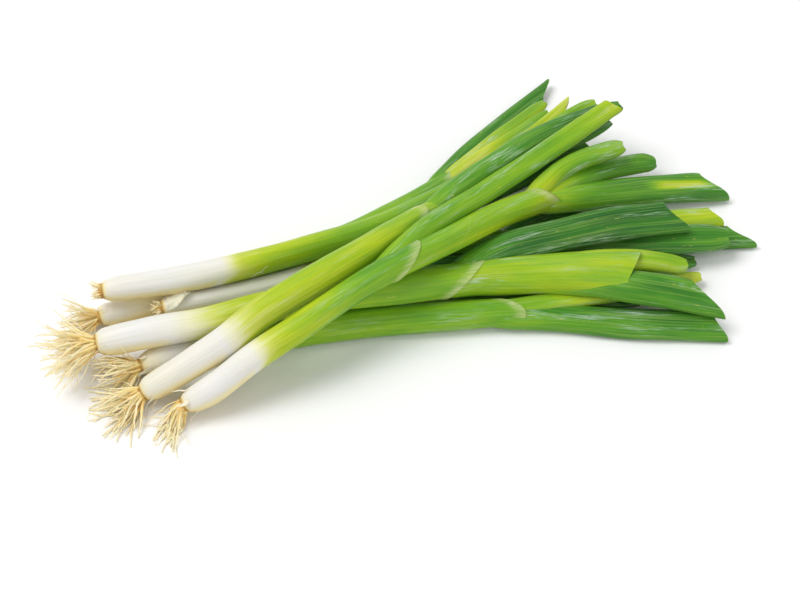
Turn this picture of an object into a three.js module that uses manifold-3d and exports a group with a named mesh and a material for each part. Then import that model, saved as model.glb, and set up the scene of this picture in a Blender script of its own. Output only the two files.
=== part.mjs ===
// A bunch of seven spring onions, loosely laid down on a table, in millimetres with +Z up.
// Roots point to -X and the cut leaf tips to +X. Each plant is a solid stem, hollow leaves that
// part from it, and a tuft of roots on the small plate under its base.
import * as THREE from "three";
import { mergeVertices } from "three/addons/utils/BufferGeometryUtils.js";
import Module from "manifold-3d";

const wasm = await Module();
wasm.setup();

const UP = new THREE.Vector3(0, 0, 1);
const FULL_TURN = 2 * Math.PI;
const GOLDEN_TURN = 0.381966; // the turn from one root to the next, which spreads them evenly

// Driving dimensions.
const GAP = 0.3; // left between pieces that lie on each other
const LEAF_WALL = 0.9; // thickness of a leaf's wall
const STEM_SIDES = 12;
const STEM_STEPS = 14;
const LEAF_SIDES = 10;
const LEAF_STATIONS = [0, 0.12, 0.28, 0.45, 0.62, 0.8, 0.92, 1];
const LEAF_BOTTOM_ROWS = 2; // rows of a leaf that stay solid below its hollow
const CUT_START = 0.78; // where along a leaf its slanted cut begins to lengthen one edge
const ROUND_TIP = [0.95, 0.72]; // how far a rounded tip closes at its last two stations
const ROOT_SIDES = 3;
const ROOT_STEPS = 3;
const ROOT_THICKNESS = [0.6, 0.38]; // half thickness at the plate and at the tip
const ROOT_FLOOR = 0.9; // lowest height of a root's middle line
const ROOT_CLEARANCE = 1.2; // kept between a root's middle line and a stem
const ROOT_STEEPEST = 0.8; // steepest fall of a root, as the sine of its slope
const ROOT_LEAST_RUN = 0.1; // least squared share of a root's way that stays level
const ROOT_PULL = 0.3; // how strongly each step turns a root to its tuft's own way
const ROOT_WAVER = 0.35; // sideways play of each step
const ROOT_TURN_PLAY = 0.05; // play in the turn from one root to the next
const PLATE_RISE = 1.7; // how far the root plate stands out below the stem
const PLATE_SHARE = 0.62; // the plate's radius as a share of the stem's
const ROOT_CIRCLE = 0.75; // how far out on the plate the outermost roots start
const PLATE_RINGS = [8, 5]; // facets round the plate and over it
const BASE_DOME = [
  { t: 0, scale: 0.6 },
  { t: 0.012, scale: 0.92 },
]; // the first rows of a stem, which round its base off
const ROOM = 600; // side of the block of air above the table, larger than the bunch
const OBSTACLE_SAMPLES = 40; // places along each stem that the roots are kept clear of
const RANDOM_FACTOR = 16807; // the minimal standard generator of repeatable random numbers
const RANDOM_LIMIT = 2 ** 31 - 1;
const SEED = 7;

// The origin on the table under the middle of the whole bunch, in the frame of the routes below.
const MIDDLE = [-0.45, -6.78];

// Seven plants in the order in which they were laid down. A stem's route is [x, y, z, radius] from
// its base to where the leaves part. A leaf's route is [x, y, z, half width, half thickness] from
// inside the stem to its cut tip. Its roll lowers the edge that faces -Y, in degrees, and its cut is
// either a slant, by which the -Y edge is longer than the +Y edge, or a rounded tip.
const PLANTS = {
  a: {
    stem: [
      [-136, -25, 5.5, 5.2],
      [-124, -25, 6, 6.4],
      [-107, -26, 6.2, 6.7],
      [-78, -30, 6.8, 7.2],
      [-37, -36, 7, 7.6],
      [3, -45, 7, 7.6],
      [36, -54, 6.7, 7.2],
    ],
    roots: { count: 13, length: [13, 22], spread: 48, droop: -0.1 },
    leaves: [
      {
        route: [
          [29, -53, 6.7, 6.8, 6.2],
          [54, -62, 5, 6.8, 5.2],
          [80, -74, 4.7, 7.4, 4.6],
          [107, -86, 4.5, 7.8, 4.2],
          [133, -96, 4.2, 8.2, 3.6],
        ],
        roll: 20,
        slant: 4,
        colour: 0x4f9a31,
      },
      {
        route: [
          [29, -52, 7, 5.4, 5],
          [60, -58, 9, 5, 4],
          [95, -63, 8, 4.6, 3.2],
          [138, -65, 5.5, 4.2, 2.6],
        ],
        colour: 0xb59a35,
      },
    ],
  },
  b: {
    stem: [
      [-147, 11, 5.7, 5.4],
      [-117, 10, 5.7, 6.2],
      [-80, 12, 5.6, 6],
      [-43, 16, 5.5, 6],
      [-9, 21, 5.5, 6],
      [21, 29, 5.5, 6],
      [47, 38, 5.2, 5.6],
    ],
    roots: { count: 10, length: [12, 20], spread: 35, droop: 0.05 },
    leaves: [
      {
        route: [
          [32, 33, 5.3, 5.4, 5],
          [57, 50, 4.2, 5.6, 4],
          [88, 68, 3.7, 5.4, 3.6],
          [118, 84, 3.2, 4.4, 2.8],
        ],
        roll: 15,
        slant: -7,
        colour: 0x3f8f2f,
      },
      {
        route: [
          [42, 37, 5.2, 5.2, 5],
          [66, 48, 8, 4.6, 4],
          [85, 57, 9.5, 4.2, 3.4],
          [111, 69, 10.5, 3.4, 2.6],
        ],
        roll: 10,
        colour: 0xb9cf3a,
      },
      {
        route: [
          [42, 35, 5.2, 5.2, 5],
          [64, 42, 10.5, 4.8, 4],
          [82, 46, 14, 4.4, 3.4],
          [107, 55, 17, 3.8, 2.6],
        ],
        roll: 15,
        colour: 0x9fc436,
      },
    ],
  },
  c: {
    stem: [
      [-118, 1, 12, 4.6],
      [-85, 0, 9, 5],
      [-61, 0, 8, 5.2],
      [-42, 1, 7, 5.4],
      [-6, 1, 6, 5.8],
      [29, -4, 6, 6.2],
      [62, -15, 6.5, 6.8],
    ],
    roots: { count: 7, length: [3, 5], spread: 50, droop: 0 },
    leaves: [
      {
        route: [
          [55, -13, 6.5, 6.5, 5.5],
          [86, -23, 5, 7, 4.2],
          [120, -33, 4.2, 7, 3.8],
          [150, -41, 3.7, 7, 3.4],
          [170, -47, 3.2, 6.4, 2.8],
        ],
        roll: 12,
        slant: 7,
        colour: 0x3f8f2f,
      },
      {
        route: [
          [55, -15, 6, 5.4, 5],
          [83, -32, 4.2, 5.2, 4],
          [115, -46, 3.7, 5, 3.4],
          [141, -54, 3.2, 4.8, 2.6],
        ],
        colour: 0x3a8a2e,
      },
      {
        route: [
          [55, -13, 6.5, 6, 5],
          [87, -20, 11, 6, 4],
          [122, -29, 12, 6, 3.4],
          [161, -35, 9.5, 5.5, 2.6],
        ],
        roll: 15,
        slant: 3,
        colour: 0xa6cf30,
      },
      {
        route: [
          [55, -13, 7, 6.5, 5.5],
          [83, -30, 13, 7.2, 4.4],
          [116, -41, 14, 7.6, 3.8],
          [159, -52, 12, 7.6, 3],
        ],
        roll: 18,
        colour: 0x4a9a33,
      },
    ],
  },
  d: {
    stem: [
      [-153, -14, 16.5, 6.4],
      [-128, -18, 19, 7.3],
      [-104, -22, 20, 7.4],
      [-74, -23, 20.5, 7.6],
      [-41, -27, 21, 7.8],
      [-8, -34, 21, 8.2],
      [27, -38, 18, 8.6],
      [60, -44, 14, 8.8],
    ],
    roots: { count: 18, length: [14, 26], spread: 55, droop: -0.25 },
    leaves: [
      {
        route: [
          [17, -36, 18.5, 7.2, 6.5],
          [43, -29, 21.5, 7.6, 5.4],
          [76, -32, 24.5, 8.2, 4.8],
          [106, -35, 25, 8.6, 4.4],
          [135, -39, 22.5, 8.6, 3.6],
        ],
        roll: 30,
        slant: 6,
        colour: 0x357f2d,
      },
      {
        route: [
          [50, -42, 14, 7.8, 7],
          [79, -57, 17, 8, 5.6],
          [106, -73, 17, 8.4, 4.8],
          [131, -86, 14, 8.4, 3.8],
        ],
        roll: 22,
        slant: 9,
        colour: 0x4b9a32,
      },
      {
        route: [
          [50, -42, 15, 7, 6.5],
          [77, -49, 21, 6.2, 5],
          [103, -55, 20, 5.8, 4.2],
          [130, -64, 15.5, 5.2, 3.2],
        ],
        roll: 12,
        colour: 0x8cc234,
      },
    ],
  },
  e: {
    stem: [
      [-143, 13, 21, 5.4],
      [-111, 8, 20.7, 6.5],
      [-76, 7, 19, 6.6],
      [-35, 8, 17.3, 6.4],
      [-2, 12, 15, 6.2],
      [28, 20, 13, 5.8],
      [53, 29, 12, 5.4],
    ],
    roots: { count: 8, length: [4, 7], spread: 40, droop: 0.1 },
    leaves: [
      {
        route: [
          [46, 26, 12, 5, 4.6],
          [71, 34, 15, 4.6, 3.8],
          [94, 42, 19, 4.4, 3.2],
          [115, 51, 22.5, 4, 2.6],
        ],
        roll: 10,
        slant: -5,
        colour: 0xc9c83a,
      },
      {
        route: [
          [46, 26, 12, 5, 4.6],
          [75, 30, 19, 4.8, 3.8],
          [103, 39, 23, 4.8, 3.4],
          [129, 46, 25, 4.6, 2.8],
        ],
        roll: 15,
        colour: 0x86bd35,
      },
    ],
  },
  f: {
    stem: [
      [-139, -42, 6.5, 5.8],
      [-114, -41, 16.7, 7.1],
      [-96, -39, 24, 7.4],
      [-77, -34, 30.6, 7.5],
      [-42, -26, 36.3, 7.5],
      [-21, -19, 36, 7.2],
      [2, -10, 34, 6.8],
      [25, 0, 30, 6.4],
    ],
    roots: { count: 18, length: [14, 26], spread: 50, droop: -0.3 },
    leaves: [
      {
        route: [
          [18, -1, 30, 5.6, 5],
          [50, 9, 20, 5.4, 4],
          [85, 20, 15.5, 5.4, 3.4],
          [115, 30, 15, 5, 2.8],
        ],
        roll: 10,
        slant: 2,
        colour: 0x357f2d,
      },
      {
        route: [
          [18, -2, 31, 6, 5.2],
          [52, 13, 26, 5.4, 4],
          [82, 22, 24, 5.2, 3.6],
          [131, 33, 23.5, 4.8, 3],
        ],
        roll: 10,
        colour: 0x418f30,
      },
      {
        route: [
          [18, -2, 31.5, 6.2, 5.4],
          [51, 12, 34, 5.8, 4.2],
          [93, 28, 32, 5.6, 3.6],
          [137, 34, 31.5, 5, 2.8],
        ],
        roll: 15,
        colour: 0x449433,
      },
    ],
  },
  g: {
    stem: [
      [-123, -56, 7.2, 5.4],
      [-107, -55, 13, 6.6],
      [-87, -52, 22.5, 6.7],
      [-63, -48, 30.5, 6.6],
      [-42, -42, 34, 6.4],
      [-17, -36, 38, 6.6],
      [14, -28, 37, 6.8],
      [51, -14, 30, 7.2],
      [79, -6, 24, 7.4],
    ],
    roots: { count: 15, length: [14, 24], spread: 40, droop: -0.35, heading: [0.55, -0.9, 0] },
    leaves: [
      {
        route: [
          [71, -7, 24.5, 7, 6.2],
          [101, -6, 16.5, 7.4, 5.2],
          [138, -7, 9.5, 7.8, 4.4],
          [171, -13, 5.5, 7.8, 3.6],
        ],
        roll: 20,
        slant: 7,
        colour: 0x459433,
      },
      {
        route: [
          [71, -6, 25, 6.2, 5.4],
          [99, 3, 21, 5.6, 4.4],
          [126, 8, 16, 5.6, 3.8],
          [147, 9, 11.5, 5.4, 3.2],
        ],
        roll: 15,
        colour: 0x3f8c30,
      },
      {
        route: [
          [70, -7, 26, 6, 5.4],
          [91, 5, 27.5, 5.2, 4.4],
          [110, 9, 28.5, 5, 3.8],
          [128, 10, 28.5, 4.8, 3.2],
        ],
        roll: 15,
        colour: 0x86bf38,
      },
      {
        route: [
          [-24, -38, 37.5, 5.8, 5.4],
          [10, -19, 40, 5.6, 4.4],
          [45, -3, 35.5, 5.6, 3.8],
          [87, 14, 34.5, 5.5, 3.4],
          [130, 29, 38.5, 5, 2.8],
        ],
        roll: 18,
        slant: 2,
        colour: 0x79b634,
      },
    ],
  },
};

const FINISH = {
  stem: { color: 0xdfe8b8, roughness: 0.38, metalness: 0 },
  leaf: { roughness: 0.45, metalness: 0 },
  root: { color: 0xe2c98c, roughness: 0.85, metalness: 0 },
};

// A closed geometry as a solid that can be joined and cut.
function solidOf(geometry) {
  const bare = geometry.clone();
  bare.deleteAttribute("normal");
  bare.deleteAttribute("uv");
  const merged = mergeVertices(bare, 1e-4);
  return new wasm.Manifold(
    new wasm.Mesh({
      numProp: 3,
      vertProperties: merged.getAttribute("position").array,
      triVerts: new Uint32Array(merged.index.array),
    }),
  );
}

// The largest connected body of a solid, so that cutting leaves no loose scraps.
function largestBody(solid) {
  const bodies = solid.decompose();
  return bodies.reduce((best, body) => (body.volume() > best.volume() ? body : best));
}

// A solid as a named mesh.
function meshOf(name, solid, finish) {
  const { vertProperties, triVerts } = solid.getMesh();
  const geometry = new THREE.BufferGeometry()
    .setAttribute("position", new THREE.BufferAttribute(vertProperties, 3))
    .setIndex(new THREE.BufferAttribute(triVerts, 1));
  geometry.computeVertexNormals();
  const mesh = new THREE.Mesh(geometry, new THREE.MeshStandardMaterial(finish));
  mesh.name = name;
  return mesh;
}

// The smooth middle line of a route, and its half width and half thickness along it.
function curvesOf(route) {
  const places = route.map(([x, y, z]) => new THREE.Vector3(x, y, z));
  const sizes = route.map(([, , , width, thickness = width]) => new THREE.Vector3(width, thickness));
  return {
    line: new THREE.CatmullRomCurve3(places, false, "catmullrom"),
    size: new THREE.CatmullRomCurve3(sizes, false, "catmullrom"),
  };
}

// Directions at a place on a middle line: ahead along it, across to +Y, and over the top.
function directionsAt(line, t, roll) {
  const ahead = line.getTangent(t);
  const across = new THREE.Vector3().crossVectors(UP, ahead).normalize();
  const over = new THREE.Vector3().crossVectors(ahead, across);
  const angle = THREE.MathUtils.degToRad(roll);
  return { ahead, across: across.applyAxisAngle(ahead, angle), over: over.applyAxisAngle(ahead, angle) };
}

// A lathed outline bent along a route. Each row of the outline is { t, scale, wall }: its place along
// the route, its share of the full size, and the wall's thickness where it runs inside a hollow.
function bend(route, { rows, sides, roll = 0, slant = 0, grow = 0 }) {
  const { line, size } = curvesOf(route);
  const profile = rows.map(({ t, scale }) => new THREE.Vector2(scale, t));
  const geometry = new THREE.LatheGeometry(profile, sides);
  const position = geometry.getAttribute("position");
  const uv = geometry.getAttribute("uv");
  for (let i = 0; i < position.count; i++) {
    const column = Math.round(uv.getX(i) * sides) % sides;
    const { t, scale, wall = 0 } = rows[Math.round(uv.getY(i) * (rows.length - 1))];
    const angle = (column / sides) * FULL_TURN;
    const { ahead, across, over } = directionsAt(line, t, roll);
    const full = size.getPoint(t);
    const width = scale === 0 ? 0 : full.x * scale - wall + grow;
    const thickness = scale === 0 ? 0 : full.y * scale - wall + grow;
    const cut = Math.max(0, (t - CUT_START) / (1 - CUT_START)) ** 2;
    const endGrowth = t === 0 ? -grow : t === 1 ? grow : 0;
    const place = line.getPoint(t);
    place.addScaledVector(across, Math.cos(angle) * width);
    place.addScaledVector(over, Math.sin(angle) * thickness);
    place.addScaledVector(ahead, endGrowth - Math.cos(angle) * slant * cut * Math.sign(scale));
    position.setXYZ(i, place.x, place.y, place.z);
  }
  return solidOf(geometry);
}

// Stems are solid, domed at the base and blunt where the leaves part.
function stemRows() {
  const rows = [{ t: 0, scale: 0 }, ...BASE_DOME];
  for (let i = 1; i <= STEM_STEPS; i++) {
    rows.push({ t: (i - 0.5) / (STEM_STEPS - 0.5), scale: 1 });
  }
  rows.push({ t: 1, scale: 0 });
  return rows;
}

// Leaves are flattened tubes, closed inside the stem and open at the cut tip.
function leafRows(rounded, hollow) {
  const last = LEAF_STATIONS.length - 1;
  const scaleAt = (i) => (rounded && i >= last - 1 ? ROUND_TIP[i - last + 1] : 1);
  const outside = LEAF_STATIONS.map((t, i) => ({ t, scale: scaleAt(i) }));
  const inside = LEAF_STATIONS.map((t, i) => ({ t, scale: scaleAt(i), wall: LEAF_WALL }));
  const closed = [{ t: 0, scale: 0 }, ...outside];
  if (!hollow) {
    return [...closed, { t: 1, scale: 0 }];
  }
  const bottom = { t: LEAF_STATIONS[LEAF_BOTTOM_ROWS], scale: 0 };
  return [...closed, ...inside.slice(LEAF_BOTTOM_ROWS).reverse(), bottom];
}

function rootRows() {
  const rows = [{ t: 0, scale: 0 }];
  for (let i = 0; i <= ROOT_STEPS; i++) {
    rows.push({ t: i / ROOT_STEPS, scale: 1 });
  }
  rows.push({ t: 1, scale: 0 });
  return rows;
}

// The space above the table, which cuts the small flats that the bunch rests on.
function spaceAboveTable() {
  const box = new THREE.BoxGeometry(ROOM, ROOM, ROOM);
  box.translate(0, 0, ROOM / 2);
  return solidOf(box);
}

// A repeatable random number from 0 to 1.
function seededRandom(seed) {
  let state = seed;
  return () => {
    state = (state * RANDOM_FACTOR) % RANDOM_LIMIT;
    return state / RANDOM_LIMIT;
  };
}

// Places along every stem with its radius there, which the roots are bent clear of.
function stemObstacles() {
  return Object.entries(PLANTS).flatMap(([plant, { stem }]) => {
    const { line, size } = curvesOf(stem);
    return Array.from({ length: OBSTACLE_SAMPLES + 1 }, (unused, i) => ({
      plant,
      place: line.getPoint(i / OBSTACLE_SAMPLES),
      radius: size.getPoint(i / OBSTACLE_SAMPLES).x,
    }));
  });
}

// Turns a root's way so that its next step stays above the table and never falls straight down.
function levelOut(way, place, stride) {
  const level = new THREE.Vector2(way.x, way.y).normalize();
  const fall = Math.max(way.z, -ROOT_STEEPEST, (ROOT_FLOOR - place.z) / stride);
  const run = Math.sqrt(Math.max(ROOT_LEAST_RUN, 1 - fall * fall));
  way.set(level.x * run, level.y * run, fall);
}

// Moves a place on a root out of every stem.
function bendClear(place, obstacles) {
  for (const { place: middle, radius } of obstacles) {
    const away = place.clone().sub(middle);
    const clear = radius + ROOT_CLEARANCE;
    if (away.length() < clear) {
      place.copy(middle).add(away.setLength(clear));
    }
  }
  place.z = Math.max(place.z, ROOT_FLOOR);
}

// The routes of one tuft's roots: each starts in the plate at its own place, leans out the further
// from the middle it starts, bends with the tuft's droop and wavers a little.
function rootRoutes(base, back, plate, { count, length, spread, droop, heading }, obstacles, random) {
  const tuftAhead = back.clone().add(new THREE.Vector3(...(heading ?? [0, 0, 0]))).normalize();
  const sideways = new THREE.Vector3().crossVectors(UP, back).normalize();
  const upward = new THREE.Vector3().crossVectors(back, sideways);
  return Array.from({ length: count }, (unused, i) => {
    const turn = (i * GOLDEN_TURN + random() * ROOT_TURN_PLAY) * FULL_TURN;
    const outness = Math.sqrt((i + 0.5) / count);
    const tilt = THREE.MathUtils.degToRad(spread) * outness;
    const outward = sideways.clone().multiplyScalar(Math.cos(turn));
    outward.addScaledVector(upward, Math.sin(turn));
    const reach = THREE.MathUtils.lerp(length[0], length[1], random());
    const way = back.clone().multiplyScalar(Math.cos(tilt)).addScaledVector(outward, Math.sin(tilt));
    const place = base.clone().addScaledVector(outward, plate * ROOT_CIRCLE * outness);
    const route = [];
    for (let step = 0; step <= ROOT_STEPS; step++) {
      const share = step / ROOT_STEPS;
      const thick = THREE.MathUtils.lerp(ROOT_THICKNESS[0], ROOT_THICKNESS[1], share);
      route.push([place.x, place.y, place.z, thick]);
      way.addScaledVector(tuftAhead, ROOT_PULL);
      way.z += droop;
      way.x += (random() - 0.5) * ROOT_WAVER;
      way.y += (random() - 0.5) * ROOT_WAVER;
      way.normalize();
      levelOut(way, place, reach / ROOT_STEPS);
      place.addScaledVector(way, reach / ROOT_STEPS);
      bendClear(place, obstacles);
    }
    return route;
  });
}

// The plate under a stem's base with its roots fused to it, `grow` thicker all round.
function tuftSolid(base, back, plate, routes, grow) {
  const ball = new THREE.SphereGeometry(1, ...PLATE_RINGS);
  ball.scale(plate + grow, PLATE_RISE / 2 + grow, plate + grow);
  ball.applyQuaternion(new THREE.Quaternion().setFromUnitVectors(new THREE.Vector3(0, 1, 0), back));
  ball.translate(base.x, base.y, base.z);
  const roots = routes.map((route) => bend(route, { rows: rootRows(), sides: ROOT_SIDES, grow }));
  return wasm.Manifold.union([solidOf(ball), ...roots]);
}

// Cuts a new solid clear of the pieces already laid, then notes it for those that follow.
function lay(solid, fattened, laid) {
  let cut = solid;
  for (const other of laid) {
    if (cut.intersect(other).volume() > 0) {
      cut = cut.subtract(other);
    }
  }
  laid.push(fattened);
  return largestBody(cut);
}

const bunch = new THREE.Group();
const aboveTable = spaceAboveTable();
const laid = [];

for (const [plant, { stem }] of Object.entries(PLANTS)) {
  const shape = { rows: stemRows(), sides: STEM_SIDES };
  const solid = lay(bend(stem, shape), bend(stem, { ...shape, grow: GAP }), laid);
  bunch.add(meshOf(`stem_${plant}`, solid.intersect(aboveTable), FINISH.stem));
}

for (const [plant, { leaves }] of Object.entries(PLANTS)) {
  leaves.forEach(({ route, roll = 0, slant, colour }, i) => {
    const rounded = slant === undefined;
    const shape = { sides: LEAF_SIDES, roll, slant: slant ?? 0 };
    const tube = bend(route, { ...shape, rows: leafRows(rounded, true) });
    const filled = bend(route, { ...shape, rows: leafRows(rounded, false), grow: GAP });
    const solid = lay(tube, filled, laid);
    const finish = { ...FINISH.leaf, color: colour };
    bunch.add(meshOf(`leaf_${plant}${i + 1}`, solid.intersect(aboveTable), finish));
  });
}

const obstacles = stemObstacles();
const random = seededRandom(SEED);
for (const [plant, { stem, roots }] of Object.entries(PLANTS)) {
  const { line, size } = curvesOf(stem);
  const back = line.getTangent(0).negate();
  const base = line.getPoint(0).addScaledVector(back, GAP + PLATE_RISE / 2);
  const others = obstacles.filter((obstacle) => obstacle.plant !== plant);
  const plate = size.getPoint(0).x * PLATE_SHARE;
  const routes = rootRoutes(base, back, plate, roots, others, random);
  const tuft = lay(
    tuftSolid(base, back, plate, routes, 0),
    tuftSolid(base, back, plate, routes, GAP),
    laid,
  );
  bunch.add(meshOf(`roots_${plant}`, tuft, FINISH.root));
}

bunch.position.set(-MIDDLE[0], -MIDDLE[1], 0);

export default bunch;
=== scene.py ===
"""A loose bunch of seven spring onions lying on a table, dressed in detail around its solid model.

Each plant is a stem of rolled sheaths, hollow leaves that part from it and a tuft of roots. Routes are
in millimetres in the frame that the solids were drawn in, and move to the part's frame at the end.
Angles round a stem or leaf are 0 on its far side, 90 on top and 180 on the side that faces the camera.
"""

import logging
import math
import random
from dataclasses import dataclass
from enum import Enum
from typing import Iterable, Sequence

import bpy
import numpy as np
from mathutils import Matrix, Vector


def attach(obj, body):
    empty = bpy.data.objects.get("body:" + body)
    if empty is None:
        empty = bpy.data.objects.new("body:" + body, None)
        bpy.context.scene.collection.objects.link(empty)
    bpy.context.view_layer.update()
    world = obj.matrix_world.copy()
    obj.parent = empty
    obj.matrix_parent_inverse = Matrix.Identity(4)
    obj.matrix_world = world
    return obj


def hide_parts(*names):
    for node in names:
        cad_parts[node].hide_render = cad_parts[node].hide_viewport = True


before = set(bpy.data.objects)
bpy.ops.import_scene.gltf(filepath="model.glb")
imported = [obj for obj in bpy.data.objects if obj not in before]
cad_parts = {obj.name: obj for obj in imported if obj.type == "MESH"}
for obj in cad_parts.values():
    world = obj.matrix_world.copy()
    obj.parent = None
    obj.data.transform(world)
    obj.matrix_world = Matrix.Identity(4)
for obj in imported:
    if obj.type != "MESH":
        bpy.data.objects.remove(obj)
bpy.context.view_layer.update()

MM = 0.001
MIDDLE = np.array([-0.45, -6.78, 0.0])  # the part's origin in the frame of the routes, in mm
UP = np.array([0.0, 0.0, 1.0])
FULL_TURN = 2.0 * math.pi
GOLDEN_TURN = 0.381966
TABLE_CLEARANCE = 0.02  # what lies on the table is flattened at this height, in mm
NO_RIM = 30.0  # a distance from a sheath's rim at which nothing of it shows, in mm
ROUTE_SAMPLES = 400
OBSTACLE_SAMPLES = 60
TINY = 1e-9

# The camera's view: it looks down on the bunch from the front left, as the photograph does.
VIEW_AZIMUTH = math.radians(-20.0)
VIEW_ELEVATION = math.radians(50.0)
LENS_MM = 85.0
SENSOR_MM = 36.0
IMAGE_WIDTH = 800
IMAGE_HEIGHT = 600
ORIGIN_PIXEL = (392.0, 262.0)  # where the routes' zero point shows in the image
MM_PER_PIXEL = 0.5  # at the routes' zero point

Colour = Sequence[float]
Socket = bpy.types.NodeSocket


class Finish(Enum):
    """The finishes that a surface of the bunch can have."""

    STEM = "stem_skin"
    LEAF = "leaf_skin"
    INSIDE = "leaf_inside"
    ROOT = "root_fibre"
    MEMBRANE = "dry_membrane"


class Tip(Enum):
    """How a leaf ends."""

    SLANTED = "slanted cut"
    ROUNDED = "rounded tip"


Finishes = dict[Finish, bpy.types.Material]


@dataclass(frozen=True)
class Rim:
    """A slanted edge where one sheath ends round the next.

    The edge is `place` mm from the stem's base, `slant` mm further on the side that `turn` gives in
    degrees, and steps down by `step` mm. Beyond it the tone changes by `shade`.
    """

    place: float
    slant: float
    turn: float
    step: float = 0.35
    shade: float = 0.0

    def gap(self, angle: np.ndarray, distance: np.ndarray) -> np.ndarray:
        """Signed distance beyond the edge, in mm."""
        return distance - self.place - self.slant * np.cos(angle - math.radians(self.turn))


@dataclass(frozen=True)
class Stripe:
    """A lengthwise stripe of another tone on a leaf, by share of its length and angle in degrees."""

    start: float
    end: float
    turn: float
    width: float
    tone: float
    fade: float = 0.14

    def laid_on(self, tone: np.ndarray, angle: np.ndarray, share: np.ndarray) -> np.ndarray:
        """The tone with the stripe on it, faded at its ends and sides.

        Args:
            tone: tone by point.
            angle: angle of each point round the leaf.
            share: share of the leaf's length at each point.

        Returns:
            The new tone by point.
        """
        along = smooth_step(self.start, self.start + self.fade, share)
        along = along * (1.0 - smooth_step(self.end - self.fade, self.end, share))
        side = np.cos(angle - math.radians(self.turn))
        amount = along * smooth_step(math.cos(math.radians(self.width)), 1.0, side)
        return tone + (self.tone - tone) * amount


@dataclass(frozen=True)
class Leaf:
    """A hollow leaf: its route of (x, y, z, half width, half thickness), its tone and its tip."""

    route: Sequence[Sequence[float]]
    tones: Sequence[float]
    roll: float = 0.0
    slant: float | None = None
    rims: Sequence[Rim] = ()
    stripes: Sequence[Stripe] = ()

    @property
    def tip(self) -> Tip:
        """A leaf with a slant is cut, and any other is rounded."""
        return Tip.ROUNDED if self.slant is None else Tip.SLANTED


@dataclass(frozen=True)
class Roots:
    """A tuft of roots: how many, how long, how far they spread, how they droop and where they lean."""

    count: int
    length: Sequence[float]
    spread: float
    droop: float
    heading: Sequence[float] = (0.0, 0.0, 0.0)


@dataclass(frozen=True)
class Stem:
    """A stem: its route of (x, y, z, radius), tones by distance in mm, sheath rims and mouth."""

    route: Sequence[Sequence[float]]
    tones: Sequence[Sequence[float]]
    rims: Sequence[Rim] = ()
    mouth_slant: float = 6.0
    mouth_turn: float = 60.0
    # painted light: how strongly the white part's underside is tinted gold, a painted glow that stands in for
    # light passing through and bouncing under the stem
    painted_underside_glow: float = 0.42


def smooth_step(low: float, high: float, value: np.ndarray) -> np.ndarray:
    """Rises smoothly from 0 at low to 1 at high."""
    share = np.clip((value - low) / (high - low), 0.0, 1.0)
    return share * share * (3.0 - 2.0 * share)


def bell(value: np.ndarray, middle: float, reach: float) -> np.ndarray:
    """Rises to 1 at the middle and dies away beyond the reach."""
    return np.exp(-(((value - middle) / reach) ** 2))


def ring_angles(sides: int) -> np.ndarray:
    """Even angles round a tube."""
    return np.arange(sides) / sides * FULL_TURN


def round_line(
    place: np.ndarray, across: np.ndarray, over: np.ndarray, sideways: np.ndarray, upward: np.ndarray
) -> np.ndarray:
    """Rings of points round a line.

    Args:
        place: the line's places.
        across: the sideways direction at each place.
        over: the upward direction at each place.
        sideways: mm that each point of a ring lies sideways.
        upward: mm that each point of a ring lies upward.

    Returns:
        The points by ring and place round it.
    """
    return place[:, None] + across[:, None] * sideways[..., None] + over[:, None] * upward[..., None]


def nearest_gap(rims: Sequence[Rim], angle: np.ndarray, distance: np.ndarray) -> np.ndarray:
    """The signed distance to the nearest rim, by point, which the finish turns into a pale band.

    Args:
        rims: the rims of one tube.
        angle: angle of each point round the tube.
        distance: distance of each point along it, in mm.

    Returns:
        Distances beyond the nearest rim, or a far one where there is none.
    """
    nearest = np.full(angle.shape, -NO_RIM)
    for rim in rims:
        gap = np.clip(rim.gap(angle, distance), -NO_RIM, NO_RIM)
        nearest = np.where(np.abs(gap) < np.abs(nearest), gap, nearest)
    return nearest


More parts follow.
